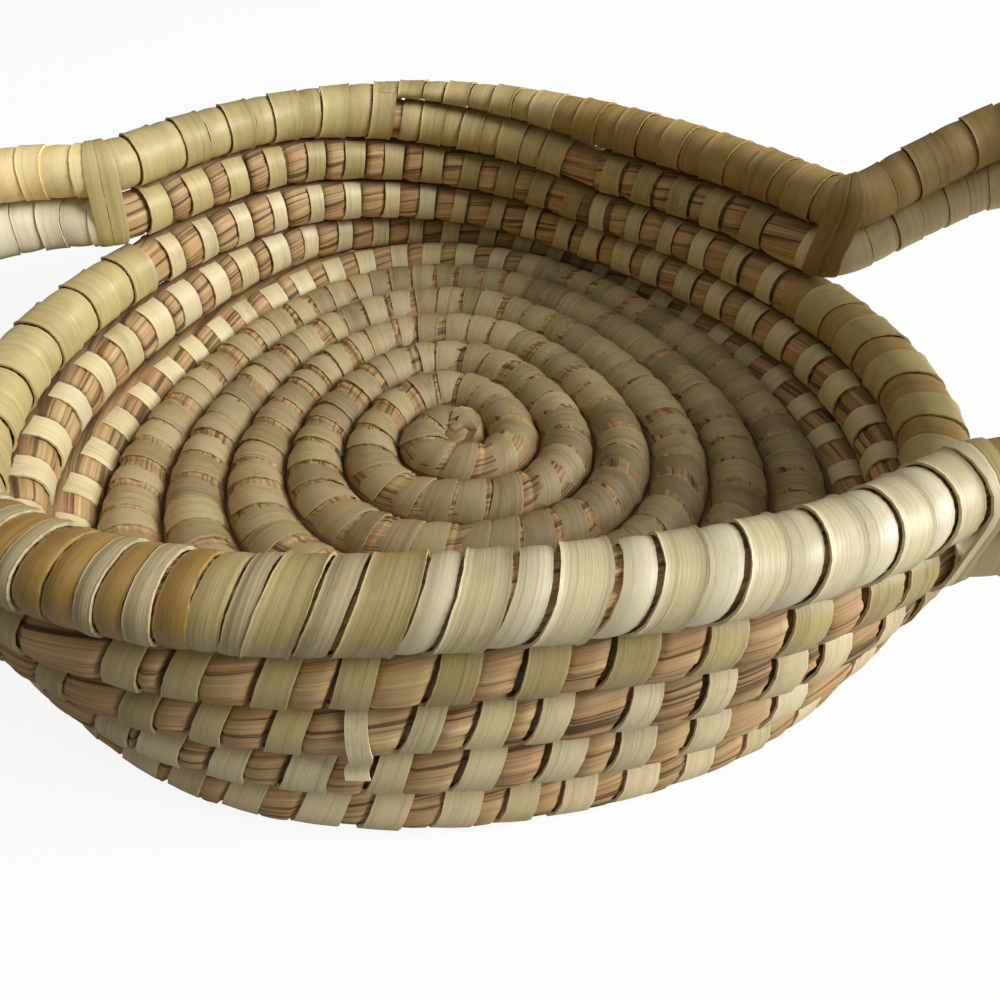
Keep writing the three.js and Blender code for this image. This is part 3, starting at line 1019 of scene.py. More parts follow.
class Finishes:
    """Makes each material once."""

    def __init__(self) -> None:
        """Builds the shared patterns."""
        self.leaf_pattern = leaf_group()
        self.grass_pattern = grass_group()
        self.leaves = {leaf: self._leaf(leaf, finish) for leaf, finish in LEAF_FINISHES.items()}
        self.grass = self._grass(GrassFinish())

    def _start(self, name: str) -> tuple[Material, Nodes, Node]:
        """Starts a material with its shader."""
        material = bpy.data.materials.new(name)
        material.use_nodes = True
        nodes = Nodes(material.node_tree)
        shader = material.node_tree.nodes["Principled BSDF"]
        return material, nodes, shader

    def _relief(self, nodes: Nodes, shader: Node, height: object, depth: float) -> None:
        """Raises the surface by a height."""
        bump = nodes.add("ShaderNodeBump")
        bump.inputs["Strength"].default_value = 1.0
        bump.inputs["Distance"].default_value = depth
        nodes.put(bump.inputs["Height"], height)
        nodes.put(shader.inputs["Normal"], bump.outputs["Normal"])

    def _leaf(self, leaf: Leaf, finish: LeafFinish) -> Material:
        """Makes the material of one kind of palm strip."""
        material, nodes, shader = self._start(f"palm_{leaf.value}")
        pattern = nodes.add("ShaderNodeGroup", node_tree=self.leaf_pattern)
        nodes.put(pattern.inputs["Place"], nodes.attribute("place", "Vector"))
        nodes.put(pattern.inputs["Edge"], nodes.attribute("edge", "Fac"))
        nodes.put(pattern.inputs["Tint"], nodes.attribute("tint", "Fac"))
        nodes.put(pattern.inputs["Dark"], finish.dark)
        nodes.put(pattern.inputs["Middle"], finish.middle)
        nodes.put(pattern.inputs["Light"], finish.light)
        nodes.put(shader.inputs["Base Color"], pattern.outputs["Colour"])
        rough = nodes.maths("MULTIPLY_ADD", pattern.outputs["Dullness"], 0.35, finish.roughness)
        nodes.put(shader.inputs["Roughness"], rough)
        self._relief(nodes, shader, pattern.outputs["Height"], finish.fibre_depth)
        return material

    def _grass(self, finish: GrassFinish) -> Material:
        """Makes the material of the grass."""
        material, nodes, shader = self._start("dry_grass")
        pattern = nodes.add("ShaderNodeGroup", node_tree=self.grass_pattern)
        nodes.put(pattern.inputs["Place"], nodes.attribute("place", "Vector"))
        # The 'depth' attribute holds painted shade, not a depth.
        nodes.put(pattern.inputs["Depth"], nodes.attribute("depth", "Fac"))
        nodes.put(pattern.inputs["Shade"], finish.shade)
        nodes.put(pattern.inputs["Stem"], finish.stem)
        nodes.put(pattern.inputs["Blush"], finish.blush)
        nodes.put(pattern.inputs["Pale"], finish.pale)
        nodes.put(shader.inputs["Base Color"], pattern.outputs["Colour"])
        shader.inputs["Roughness"].default_value = finish.roughness
        self._relief(nodes, shader, pattern.outputs["Height"], finish.stem_depth)
        return material


# What the pieces are made with


LEAVES = list(Leaf)


def leaf_number(leaf: Leaf) -> int:
    """Gives the number that stands for a leaf among the strips."""
    return LEAVES.index(leaf)


def ramp(values: Array, start: float, length: float) -> Array:
    """Rises from nought to one over a stretch of values."""
    return np.clip((values - start) / length, 0, 1)


def within_half_turn(angles: Array) -> Array:
    """Brings angles to within half a turn of nought."""
    return angles - np.round(angles / (2 * math.pi)) * 2 * math.pi


@dataclass
class Strips:
    """The palm strips laid on one stretch of the coil, each value for every strip or for all.

    Attributes:
        distance: Where the middle of the strip crosses the coil's outer side.
        width: How wide it is.
        start: The angle round the coil at which it starts.
        end: The angle at which it ends.
        slant: How far it moves along the coil in one whole turn round it.
        curl: How far its top leans along the coil besides.
        lift: How far it is raised.
        tilt: How much higher its far edge lies than its middle.
        camber: How much lower both edges lie than its middle.
        lip: How far both edges curl up.
        tint: How light it is, from nought to one: its own tone, with painted shade on the left of the front
            rim and painted light on the handles.
        leaf: The number of its kind of leaf.
    """

    distance: Array
    width: Array
    start: Array | float
    end: Array | float
    slant: Array | float
    curl: Array | float = 0.0
    lift: Array | float = 0.0
    tilt: Array | float = 0.0
    camber: Array | float = 0.0
    lip: Array | float = 0.0
    tint: Array | float = 0.5
    leaf: Array | int = 0

    def __post_init__(self) -> None:
        """Spreads a value that is the same for all over the strips."""
        for part in fields(self):
            setattr(self, part.name, np.full(len(self.distance), getattr(self, part.name)))

    def __len__(self) -> int:
        """Gives the number of strips."""
        return len(self.distance)


def joined(first: Strips, second: Strips) -> Strips:
    """Joins two lots of strips in one."""
    pairs = ((getattr(first, part.name), getattr(second, part.name)) for part in fields(first))
    return Strips(*(np.concatenate(pair) for pair in pairs))


def picked(strips: Strips, kept: Array) -> Strips:
    """Keeps some of a lot of strips."""
    return Strips(*(getattr(strips, part.name)[kept] for part in fields(strips)))


@dataclass
class StripLayer:
    """Lays flat strips round the coil, whose edges stray slowly and quickly from knot to knot."""

    random: np.random.Generator
    finishes: Finishes
    thickness: float = 0.45 * MM
    trim: float = 0.55 * MM
    tucked_share: float = 0.06
    floor_gap: float = 0.4 * MM
    slow_knots: int = 7
    slow_share: float = 0.8
    quick_knots: int = 25
    quick_share: float = 0.3

    def __post_init__(self) -> None:
        """Models the strips that all copies are made from."""
        self.wrap = strip_template(24, 8, 0.6)
        self.stitch = strip_template(16, 3, 0.8)
        self.base_stitch = strip_template(14, 2, 1.0)

    def lay(
        self,
        name: str,
        route: Route,
        strips: Strips,
        template: Template,
        ragged: float,
        tuck: float,
        flare: float = 0.0,
    ) -> Piece:
        """Lays strips on a route and dresses them.

        Args:
            name: The name of the piece.
            route: The stretch of the coil.
            strips: Where and how each strip lies.
            template: The strip's shape.
            ragged: How uneven their edges are.
            tuck: How deep their ends are tucked in.
            flare: The share by which they widen towards their ends.

        Returns:
            The piece.
        """
        along = template.along
        turn = strips.start[:, None] + along * (strips.end - strips.start)[:, None]
        half = strips.width[:, None] / 2 * (1 + flare * np.clip(-np.sin(turn), 0, 1))
        sideways = template.across * half
        moved = strips.slant[:, None] * turn / (2 * math.pi) + strips.curl[:, None] * np.sin(turn)
        edge = self._edges(len(strips), template, ragged)
        distance = strips.distance[:, None] + sideways + edge + moved
        ends = np.minimum(along, 1 - along)
        tucked = np.clip(1 - ends / self.tucked_share, 0, 1) ** 2 * tuck
        places = route.on_surface(distance, turn, self.heights(strips, template) - tucked)
        places[..., 2] = np.maximum(places[..., 2], (1 - template.raised) * self.floor_gap)
        piece = copies_mesh(name, places, template.faces)
        self.dress(piece, strips, template, sideways)
        return piece

    def heights(self, strips: Strips, template: Template) -> Array:
        """Gives how far each point of each strip lies outside the coil's full size."""
        across = template.across
        offset = template.raised * self.thickness + strips.lift[:, None] - self.trim
        offset = offset - strips.camber[:, None] * across**2 + strips.lip[:, None] * across**8
        return offset + strips.tilt[:, None] * across

    def _edges(self, count: int, template: Template, ragged: float) -> Array:
        """Gives how far the strips' edges stray sideways, point by point."""
        slow = self.random.normal(0, 1, (count, 2, self.slow_knots))
        quick = self.random.normal(0, 1, (count, 2, self.quick_knots))
        at = np.clip(template.along, 0, 1)
        side = (template.across > 0).astype(int)
        reach = np.abs(template.across) ** 2
        knot = at * (self.slow_knots - 1.001)
        first = knot.astype(int)
        share = knot - first
        slow = slow[:, side, first] * (1 - share) + slow[:, side, first + 1] * share
        quick = quick[:, side, np.round(at * (self.quick_knots - 1)).astype(int)]
        return (slow * self.slow_share + quick * self.quick_share) * reach * ragged

    def dress(self, piece: Piece, strips: Strips, template: Template, sideways: Array) -> None:
        """Gives strips their places on the leaf, their tints and their leaves.

        Args:
            piece: The piece that they make up.
            strips: The strips.
            template: The strip's shape.
            sideways: How far from its strip's middle line each point lies.
        """
        count = len(strips)
        size = len(template.points)
        shift = self.random.uniform(0, 1, (count, 2))
        reach = np.abs(strips.end - strips.start)[:, None] * COIL_RADIUS
        lengthways = template.along * reach + shift[:, :1]
        place = np.stack((lengthways, sideways + shift[:, 1:2], np.zeros((count, size))), axis=-1)
        mesh = piece.data
        add_vector(mesh, "place", place)
        add_number(mesh, "edge", np.broadcast_to(template.across, (count, size)).ravel())
        add_number(mesh, "tint", np.broadcast_to(strips.tint[:, None], (count, size)).ravel())
        kinds = sorted(set(strips.leaf.tolist()))
        for kind in kinds:
            mesh.materials.append(self.finishes.leaves[LEAVES[kind]])
        slots = np.array([kinds.index(kind) for kind in strips.leaf.tolist()], dtype=np.int32)
        mesh.polygons.foreach_set("material_index", np.repeat(slots, len(template.faces)))


@dataclass(frozen=True)
class StrandLayer:
    """One layer of unevenness among the strands of a bundle, or of a few deep creases."""

    spacing: float
    weight: float
    creased: bool = False


@dataclass(frozen=True)
class Profile:
    """How deep a strip draws the bundle in, in millimetres, at distances from its edge."""

    places: Row
    depths: Row

    def at(self, distance: Array) -> Array:
        """Gives the depth at distances from the edge."""
        return np.interp(distance, self.places, self.depths)


@dataclass
class Bundle:
    """Shapes a stretch of the grass bundle, drawn in at each stitch.

    Its marks and profiles are in millimetres from the edges of a strip.

    Attributes:
        step: The length from one even section to the next.
        twist: How far the strands turn round the bundle along its length.
        strand: How far the strands stand up, less the flattened share where they are drawn in.
        seam: The angle round the bundle at which a strip's slant starts anew.
        crevice: How deep the crevice before a strip is, in times a chance depth.
        open_gap: How far from a strip the bundle has swollen fully.
        bare_trim: The trim from which the bundle is hidden under a wound strip.
        pressed_angle: How far round the bundle a contact presses.
        shaded_angle: How far round it the shade of a contact reaches.
    """

    random: np.random.Generator
    finish: Material
    step: float = 1.6 * MM
    near_marks: Row = (1.0, 0.6, 0.3, -0.1)
    far_marks: Row = (-0.15, 0.25, 0.8)
    least_apart: float = 0.12 * MM
    twist: float = 0.032 / MM
    strand: float = 0.2 * MM
    layers: tuple[StrandLayer, ...] = (
        StrandLayer(17 * MM, 0.75),
        StrandLayer(6 * MM, 0.3),
        StrandLayer(12 * MM, -1.5, creased=True),
    )
    strand_range: Range = (-2.6, 1.1)
    flattened: float = 0.6
    flat_depth: float = 0.5 * MM
    seam: float = 0.39 * math.pi
    slanted_share: float = 0.85
    near_profile: Profile = Profile((-0.3, 0.3, 1.0, 1.8), (0.6, 0.5, 0.12, 0.0))
    crevice: Profile = Profile((-0.3, 0.1, 0.35, 0.6, 1.0), (0.1, 0.8, 1.0, 0.6, 0.0))
    crevice_range: Range = (0.25, 1.3)
    far_profile: Profile = Profile((-0.2, 0.25, 0.8, 1.6), (0.6, 0.35, 0.06, 0.0))
    open_gap: float = 2.5
    bare_trim: float = 0.6 * MM
    bare_range: float = 0.2 * MM
    pressed_angle: float = 0.36
    shaded_angle: float = 0.5
    least_fill: float = 0.02 * MM
    # Painted shade: how deep a strip must draw the grass in for its crevice's painted shade to be full, and
    # the most painted shade there.
    dark_depth: float = 1.4 * MM
    darkest: float = 0.8
    end_length: float = 1.5 * MM
    end_inset: float = 0.3 * MM
    floor_gap: float = 0.55 * MM

    def shape(
        self,
        name: str,
        route: Route,
        strips: Strips | None,
        trim: Array,
        swell: float,
        contacts: list[Contact],
        sides: int,
        pull: float = 1.0,
    ) -> Piece:
        """Shapes the bundle on a route.

        Args:
            name: The name of the piece.
            route: The stretch of the coil.
            strips: The strips that draw it in.
            trim: How far it stays under its full size, at each of the route's places.
            swell: How far it swells between the strips.
            contacts: How it lies against its neighbours.
            sides: How many strands lie round it.
            pull: The share of the usual depth by which the strips draw it in.

        Returns:
            The piece.
        """
        marks = self._marks(route, strips)
        sheet = new_sheet(name, len(marks) - 1, sides)
        flat = read_points(sheet)
        level = marks[np.round((flat[:, 0] + 0.5) * (len(marks) - 1)).astype(int)]
        column = np.round((flat[:, 1] + 0.5) * sides).astype(int)
        around = column / sides * 2 * math.pi
        turn = around + self.twist * level
        distance = level + self._lean(level, turn, route, strips)
        depth, gap = self._drawn_in(level, strips)
        depth = depth * pull
        offset = self._strands(level / route.length, column % sides, route.length, sides) * self.strand
        flattened = self.flattened * np.clip(depth / self.flat_depth, 0, 1)
        inset = np.interp(distance, route.distances, trim)
        offset = offset * (1 - flattened) + swell * gap - depth - inset
        bare = np.clip((self.bare_trim - inset) / self.bare_range, 0, 1)
        # Painted shade in the crevices where the strips draw the grass in, kept in the 'depth' attribute.
        deep = np.clip(depth / self.dark_depth, 0, self.darkest)
        for side in contacts:
            off = within_half_turn(turn - np.interp(distance, route.distances, side.turn))
            fill = np.interp(distance, route.distances, side.fill)
            touching = bare * (fill > self.least_fill)
            pressed = np.exp(-((off / self.pressed_angle) ** 2)) * touching
            offset = offset * (1 - pressed) + pressed * fill
            # Painted shade along the seam where the bundle presses on this neighbour.
            deep = np.maximum(deep, np.exp(-((off / self.shaded_angle) ** 2)) * touching)
        rounded = np.clip(np.minimum(level, route.length - level) / self.end_length, 0, 1) ** 0.5
        points = route.on_surface(distance, turn, offset - self.end_inset * (1 - rounded))
        points[:, 2] = np.maximum(points[:, 2], self.floor_gap)
        put_in_place(sheet, points)
        place = np.stack((distance, COIL_RADIUS * np.cos(around), COIL_RADIUS * np.sin(around)), axis=-1)
        add_vector(sheet.data, "place", place)
        add_number(sheet.data, "depth", deep)
        close_tube(sheet)
        sheet.data.materials.append(self.finish)
        return sheet

    def _marks(self, route: Route, strips: Strips | None) -> Array:
        """Sets where the bundle's sections are: even, and closer at the edges of the strips."""
        even = np.arange(self.step, route.length - self.step / 2, self.step)
        if strips is not None:
            half = strips.width / 2
            near = [strips.distance - half - gap * MM for gap in self.near_marks]
            near += [strips.distance + half + gap * MM for gap in self.far_marks]
            near = np.sort(np.concatenate(near))
            near = near[(near > MM) & (near < route.length - MM)]
            near = near[np.concatenate(((True,), np.diff(near) > self.least_apart))]
            apart = np.abs(even[:, None] - near[None, :]).min(axis=1)
            even = np.sort(np.concatenate((even[apart > 0.7 * MM], near)))
        return np.concatenate(((0.0,), even, (route.length,)))

    def _lean(self, level: Array, turn: Array, route: Route, strips: Strips | None) -> Array:
        """Gives how far a section leans along the coil with the strips, and nothing at the ends."""
        if strips is None:
            return np.zeros(len(level))
        lap = within_half_turn(turn - self.seam)
        share = self.slanted_share
        back = np.sign(lap) * (math.pi - np.abs(lap)) * share / (1 - share)
        lap = np.where(np.abs(lap) < share * math.pi, lap, back)
        slant = float(np.mean(strips.slant))
        lean = slant * (lap + self.seam) / (2 * math.pi) + float(np.mean(strips.curl)) * np.sin(turn)
        return lean * np.clip(np.minimum(level, route.length - level) / (2 * slant), 0, 1)

    def _strands(self, share: Array, column: Array, length: float, sides: int) -> Array:
        """Gives the height of the strands, which run along the bundle and come and go.

        Args:
            share: How far along the bundle each point lies, from nought to one.
            column: The strand that it lies on.
            length: The length of the bundle.
            sides: How many strands lie round it.

        Returns:
            The height at each point, in times the usual one.
        """
        total = np.zeros(len(share))
        for layer in self.layers:
            knots = int(length / layer.spacing) + 3
            wide = self.random.normal(0, 1, (knots, sides))
            if layer.creased:
                wide = (wide > 0.75).astype(float)
            else:
                wide = wide + 0.9 * np.roll(wide, 1, axis=1)
            at = share * (knots - 2.001)
            low = at.astype(int)
            part = at - low
            total += layer.weight * (wide[low, column] * (1 - part) + wide[low + 1, column] * part)
        return np.clip(total, *self.strand_range)

    def _drawn_in(self, level: Array, strips: Strips | None) -> tuple[Array, Array]:
        """Gives how deep the strips draw the bundle in, and how near the middle of a gap a place is."""
        if strips is None:
            return np.zeros(len(level)), np.zeros(len(level))
        order = np.argsort(strips.distance)
        places = strips.distance[order]
        crevices = self.random.uniform(*self.crevice_range, len(places))
        after = np.clip(np.searchsorted(places, level), 1, len(places) - 1)
        nearer = np.where(level - places[after - 1] < places[after] - level, after - 1, after)
        off = level - places[nearer]
        half = strips.width[order][nearer] / 2
        before = (-off - half) / MM
        beyond = (off - half) / MM
        near = self.near_profile.at(before) + crevices[nearer] * self.crevice.at(before)
        gap = np.clip(np.maximum(before, beyond) / self.open_gap, 0, 1)
        return np.where(off < 0, near, self.far_profile.at(beyond)) * MM, gap


@dataclass
class Workbench:
    """The routes of the coil, and the tools and habits that all of its sewing shares."""

    finishes: Finishes
    grass_trim: float = 0.3 * MM
    wound_trim: float = 0.9 * MM
    grass_swell: float = 0.1 * MM
    wall_sides: int = 56
    column_angle: float = 7.5
    stitch_start: float = -0.62 * math.pi
    stitch_end: float = 1.4 * math.pi
    stitch_slant: Range = (6.0 * MM, 0.5 * MM)
    stitch_curl: Range = (0.7 * MM, 0.15 * MM)

    def __post_init__(self) -> None:
        """Lays out the routes and gets the tools ready."""
        self.sizes = CoilSizes()
        self.routes = CoilRoutes(self.sizes)
        self.random = np.random.default_rng(SEED)
        self.strips = StripLayer(self.random, self.finishes)
        self.bundle = Bundle(self.random, self.finishes.grass)

    def keep(self, piece: Piece, slot: str, *nodes: str) -> None:
        """Puts a finished piece on the basket, in place of the solids that it dresses."""
        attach(piece, "root")
        if nodes:
            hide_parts(*nodes)
        LOG.info("%s: %d faces", piece.name, len(piece.data.polygons))

    def sew(
        self,
        name: str,
        route: Route,
        sewn: Strips,
        trim: Array,
        contacts: list[Contact],
        flare: float,
    ) -> None:
        """Builds the grass of a length of the wall and its stitches.

        Args:
            name: The name of the length.
            route: Its route.
            sewn: Its stitches.
            trim: How far the grass stays under the coil's full size, at each of the route's places.
            contacts: How it lies against its neighbours.
            flare: The share by which the stitches widen towards their ends.
        """
        bundle = self.bundle.shape(
            f"{name}_grass", route, sewn, trim, self.grass_swell, contacts, self.wall_sides
        )
        self.keep(bundle, "grass_bundle", f"{name}_coil")
        template = self.strips.stitch
        strips = self.strips.lay(f"{name}_stitches", route, sewn, template, 0.07 * MM, 1.6 * MM, flare)
        self.keep(strips, "palm_strip")

    def leaves(self, count: int, *choice: Leaf) -> Array:
        """Picks a leaf for each of a number of strips."""
        return self.random.choice([leaf_number(leaf) for leaf in choice], count)

    def columns(self, first: float, last: float, phase: float, front: Row, turn: float) -> Array:
        """Gives the angles of a row's stitches: even, but for the front, where each has its own.

        Args:
            first: The angle at which the row starts.
            last: The angle at which it ends.
            phase: Where the even ones start.
            front: The angles of the stitches at the front.
            turn: The angle by which this row is further along than the first turn of its length.

        Returns:
            The angles.
        """
        step = self.column_angle
        even = np.arange(math.ceil((first - phase) / step) * step + phase, last, step)
        own = np.array(front) + turn
        kept = even[(even < own[0] - step / 2) | (even > own[-1] + step / 2)]
        angles = np.sort(np.concatenate((kept, own)))
        return angles[(angles > first) & (angles < last)]

    def sewn(self, distance: Array, width: Array | float, tint: Range, leaf: Array) -> Strips:
        """Makes the stitches of a row: each goes right round the bundle.

        Args:
            distance: Where each of them crosses the coil's outer side.
            width: How wide they are.
            tint: The least and the greatest tint.
            leaf: The number of each one's leaf.

        Returns:
            The stitches.
        """
        count = len(distance)
        random = self.random
        return Strips(
            distance=distance + random.normal(0, 0.2 * MM, count),
            width=width * np.clip(random.normal(1, 0.08, count), 0.82, 1.18),
            start=self.stitch_start + random.normal(0, 0.04, count),
            end=self.stitch_end,
            slant=random.normal(*self.stitch_slant, count),
            curl=random.normal(*self.stitch_curl, count),
            lift=random.uniform(-0.03, 0.12, count) * MM,
            tilt=random.uniform(0.03, 0.16, count) * MM,
            camber=random.uniform(0.0, 0.08, count) * MM,
            tint=random.uniform(*tint, count),
            leaf=leaf,
        )

    def wound(self, span: Range, wide: float, narrow: float, leaves: tuple[Leaf, Leaf]) -> Strips:
        """Makes the turns of a strip wound closely round the coil, wide and narrow by turns.

        Args:
            span: Where along the coil it starts and ends.
            wide: About how wide a wide turn is.
            narrow: About how wide a narrow one is.
            leaves: The leaf of each.

        Returns:
            The turns, which fill the span.
        """
        low, high = span
        pair = wide + narrow
        count = max(round((high - low) / pair), 1) * 2
        even = np.arange(count) % 2 == 0
        rooms = np.where(even, wide, narrow) * (high - low) / (count / 2 * pair)
        rooms = rooms * self.random.normal(1, 0.07, count)
        rooms = rooms * (high - low) / np.sum(rooms)
        leaf = np.where(even, leaf_number(leaves[0]), leaf_number(leaves[1]))
        return self.turns(low, rooms, even, leaf, float(np.mean(rooms)), 0.6 * MM)

    def turns(
        self,
        low: float,
        rooms: Array,
        broad: Array,
        leaf: Array,
        slant: Array | float,
        curl: Array | float,
    ) -> Strips:
        """Makes the turns of a wound strip from the room that each turn takes.

        Args:
            low: Where the first one starts.
            rooms: The room of each.
            broad: Which of them lie uppermost, with their edges curled up.
            leaf: The number of each one's leaf.
            slant: How far they move along the coil in one turn round it.
            curl: How far their tops lean along it besides.

        Returns:
            The turns.
        """
        random = self.random
        count = len(rooms)
        return Strips(
            distance=low + np.cumsum(rooms) - rooms / 2,
            width=rooms * np.clip(random.normal(0.965, 0.02, count), 0.9, 1.0),
            start=-0.5 * math.pi + random.normal(0, 0.03, count),
            end=1.5 * math.pi + random.normal(0, 0.03, count),
            slant=slant,
            curl=curl,
            lift=np.where(broad, 0.15, 0.0) * MM + random.uniform(-0.04, 0.04, count) * MM,
            tilt=random.uniform(-0.04, 0.12, count) * MM,
            camber=np.where(broad, 0.0, 0.26) * MM,
            lip=np.where(broad, 0.2, 0.0) * MM,
            tint=random.uniform(0.25, 0.85, count),
            leaf=leaf,
        )

    def loops(self, distance: Array, width: Array, leaves: tuple[Leaf, ...]) -> Strips:
        """Makes narrow strips that lie over all others.

        Args:
            distance: Where along the coil each of them lies.
            width: How wide each is.
            leaves: The leaf of each.

        Returns:
            The strips.
        """
        return Strips(
            distance=distance,
            width=width,
            start=-0.5 * math.pi,
            end=1.5 * math.pi,
            slant=5.2 * MM,
            lift=0.5 * MM,
            camber=0.05 * MM,
            tint=self.random.uniform(0.3, 0.7, len(distance)),
            leaf=np.array([leaf_number(leaf) for leaf in leaves]),
        )


# The basket's parts


@dataclass
class Part:
    """A part of the basket, made at the bench."""

    bench: Workbench


@dataclass
class Base(Part):
    """The flat spiral and the stitches across it.

    Attributes:
        edge_columns: The angles of the outer turn's stitches at the front.
        spacing: The least and the greatest distance between two inner stitches, in millimetres.
        inner_room: How far before the outer turn's stitches the inner ones end.
        pull: How far the stitches draw the grass in, as a share of the usual depth.
    """

    edge_columns: Row = (238.8, 245.2, 253.0, 260.0, 267.0, 273.5, 280.2, 286.9, 293.8)
    edge_width: float = 5.4 * MM
    first_place: float = 2.0 * MM
    spacing: Range = (5.9, 7.7)
    inner_room: float = 5 * MM
    width: float = 5.7 * MM
    camber: float = 0.36 * MM
    trim: float = 0.25 * MM
    pull: float = 0.5
    sides: int = 44

    def build(self) -> None:
        """Builds the grass and its stitches."""
        bench = self.bench
        route = bench.routes.base
        start = bench.sizes.climb_start
        edge = bench.columns(start - 358, start - 3, 1.0, self.edge_columns, -360)
        inner = self._inner(float(route.distance_at(edge[0])) - self.inner_room)
        leaves = bench.leaves(len(edge), Leaf.CREAM)
        outer = bench.sewn(route.distance_at(edge), self.edge_width, (0.2, 0.9), leaves)
        sewn = joined(inner, outer)
        trim = np.full(len(route.distances), self.trim)
        contacts = [contact(route, route, apart, 0.66, 0.1, 6 * MM) for apart in (-360, 360)]
        contacts.append(contact(route, bench.routes.wall, 360, share=0.66))
        bundle = bench.bundle.shape("base_grass", route, sewn, trim, 0.0, contacts, self.sides, self.pull)
        bench.keep(bundle, "grass_bundle", "base_coil")
        template = bench.strips.base_stitch
        strips = bench.strips.lay("base_stitches", route, sewn, template, 0.12 * MM, 1.6 * MM, 0.15)
        bench.keep(strips, "palm_strip")

    def _inner(self, limit: float) -> Strips:
        """Makes the uneven stitches of the inner turns, up to a distance along the coil."""
        bench = self.bench
        random = bench.random
        places = [self.first_place]
        while places[-1] < limit:
            places.append(places[-1] + random.uniform(*self.spacing) * MM)
        count = len(places)
        inner = bench.sewn(np.array(places), self.width, (0.0, 0.9), bench.leaves(count, Leaf.INSIDE))
        inner.width = inner.width * random.uniform(0.86, 1.12, count)
        inner.slant = inner.slant * random.uniform(0.5, 1.5, count)
        inner.tilt = random.uniform(0.15, 0.5, count) * MM
        inner.lift = random.uniform(0.05, 0.35, count) * MM
        inner.camber = inner.camber + self.camber
        return inner


@dataclass
class Wall(Part):
    """The two lower rows of the wall, rows four and three, with their stitches.

    The rows' angles are those of their stitches at the front. Row three's are dull between the two
    dull_angles, and it has none at the loose_angle.
    """

    row_four: Row = (232.0, 237.2, 244.1, 251.4, 259.5, 268.0, 276.7, 284.2, 292.0, 301.3)
    row_three: Row = (237.2, 243.2, 249.9, 262.2, 268.3, 274.4, 282.9, 290.4, 298.0)
    four_width: float = 5.3 * MM
    three_width: float = 4.3 * MM
    loose_angle: float = 256.2
    dull_angles: Range = (570.0, 618.0)

    def build(self) -> None:
        """Builds the grass and its stitches."""
        bench = self.bench
        routes = bench.routes
        route = routes.wall
        sewn = self._stitches(route)
        trim = np.full(len(route.angles), bench.grass_trim)
        for handle in bench.sizes.handles.values():
            beside = (route.angles > handle.leave + 359) & (route.angles < handle.rejoin + 361)
            trim[beside] = bench.wound_trim
        contacts = [contact(route, routes.base, -360, share=0.66), contact(route, routes.upper.route, -360)]
        contacts += [contact(route, route, apart) for apart in (-360, 360)]
        bench.sew("wall", route, sewn, trim, contacts, flare=0.22)

    def _stitches(self, route: Route) -> Strips:
        """Makes the stitches of both rows, none of them where a side rim's strip is wound."""
        bench = self.bench
        first = bench.sizes.climb_start
        row_four = bench.columns(first + 2, first + 360, 4.4, self.row_four, 0)
        row_three = bench.columns(first + 362, first + 718, 3.3, self.row_three, 360)
        for handle in bench.sizes.handles.values():
            row_three = row_three[(row_three < handle.leave + 358) | (row_three > handle.rejoin + 362)]
        row_three = row_three[np.abs(row_three - self.loose_angle - 360) > 3]
        dull = (row_three > self.dull_angles[0]) & (row_three < self.dull_angles[1])
        fresh = bench.leaves(len(row_three), Leaf.CREAM, Leaf.STRAW)
        leaf_three = np.where(dull, leaf_number(Leaf.OLIVE), fresh)
        leaf_four = bench.leaves(len(row_four), Leaf.CREAM, Leaf.STRAW)
        four = bench.sewn(route.distance_at(row_four), self.four_width, (0.2, 0.9), leaf_four)
        three = bench.sewn(route.distance_at(row_three), self.three_width, (0.2, 0.9), leaf_three)
        return joined(four, three)


@dataclass(frozen=True)
class LoosePlace:
    """A place that the loose stitch passes.

    Attributes:
        on_row_three: Whether it lies on row three, and not on row four below.
        turn: The angle round that row, in half turns.
        height: How far outside the row's full size it lies, in millimetres.
    """

    on_row_three: bool
    turn: float
    height: float


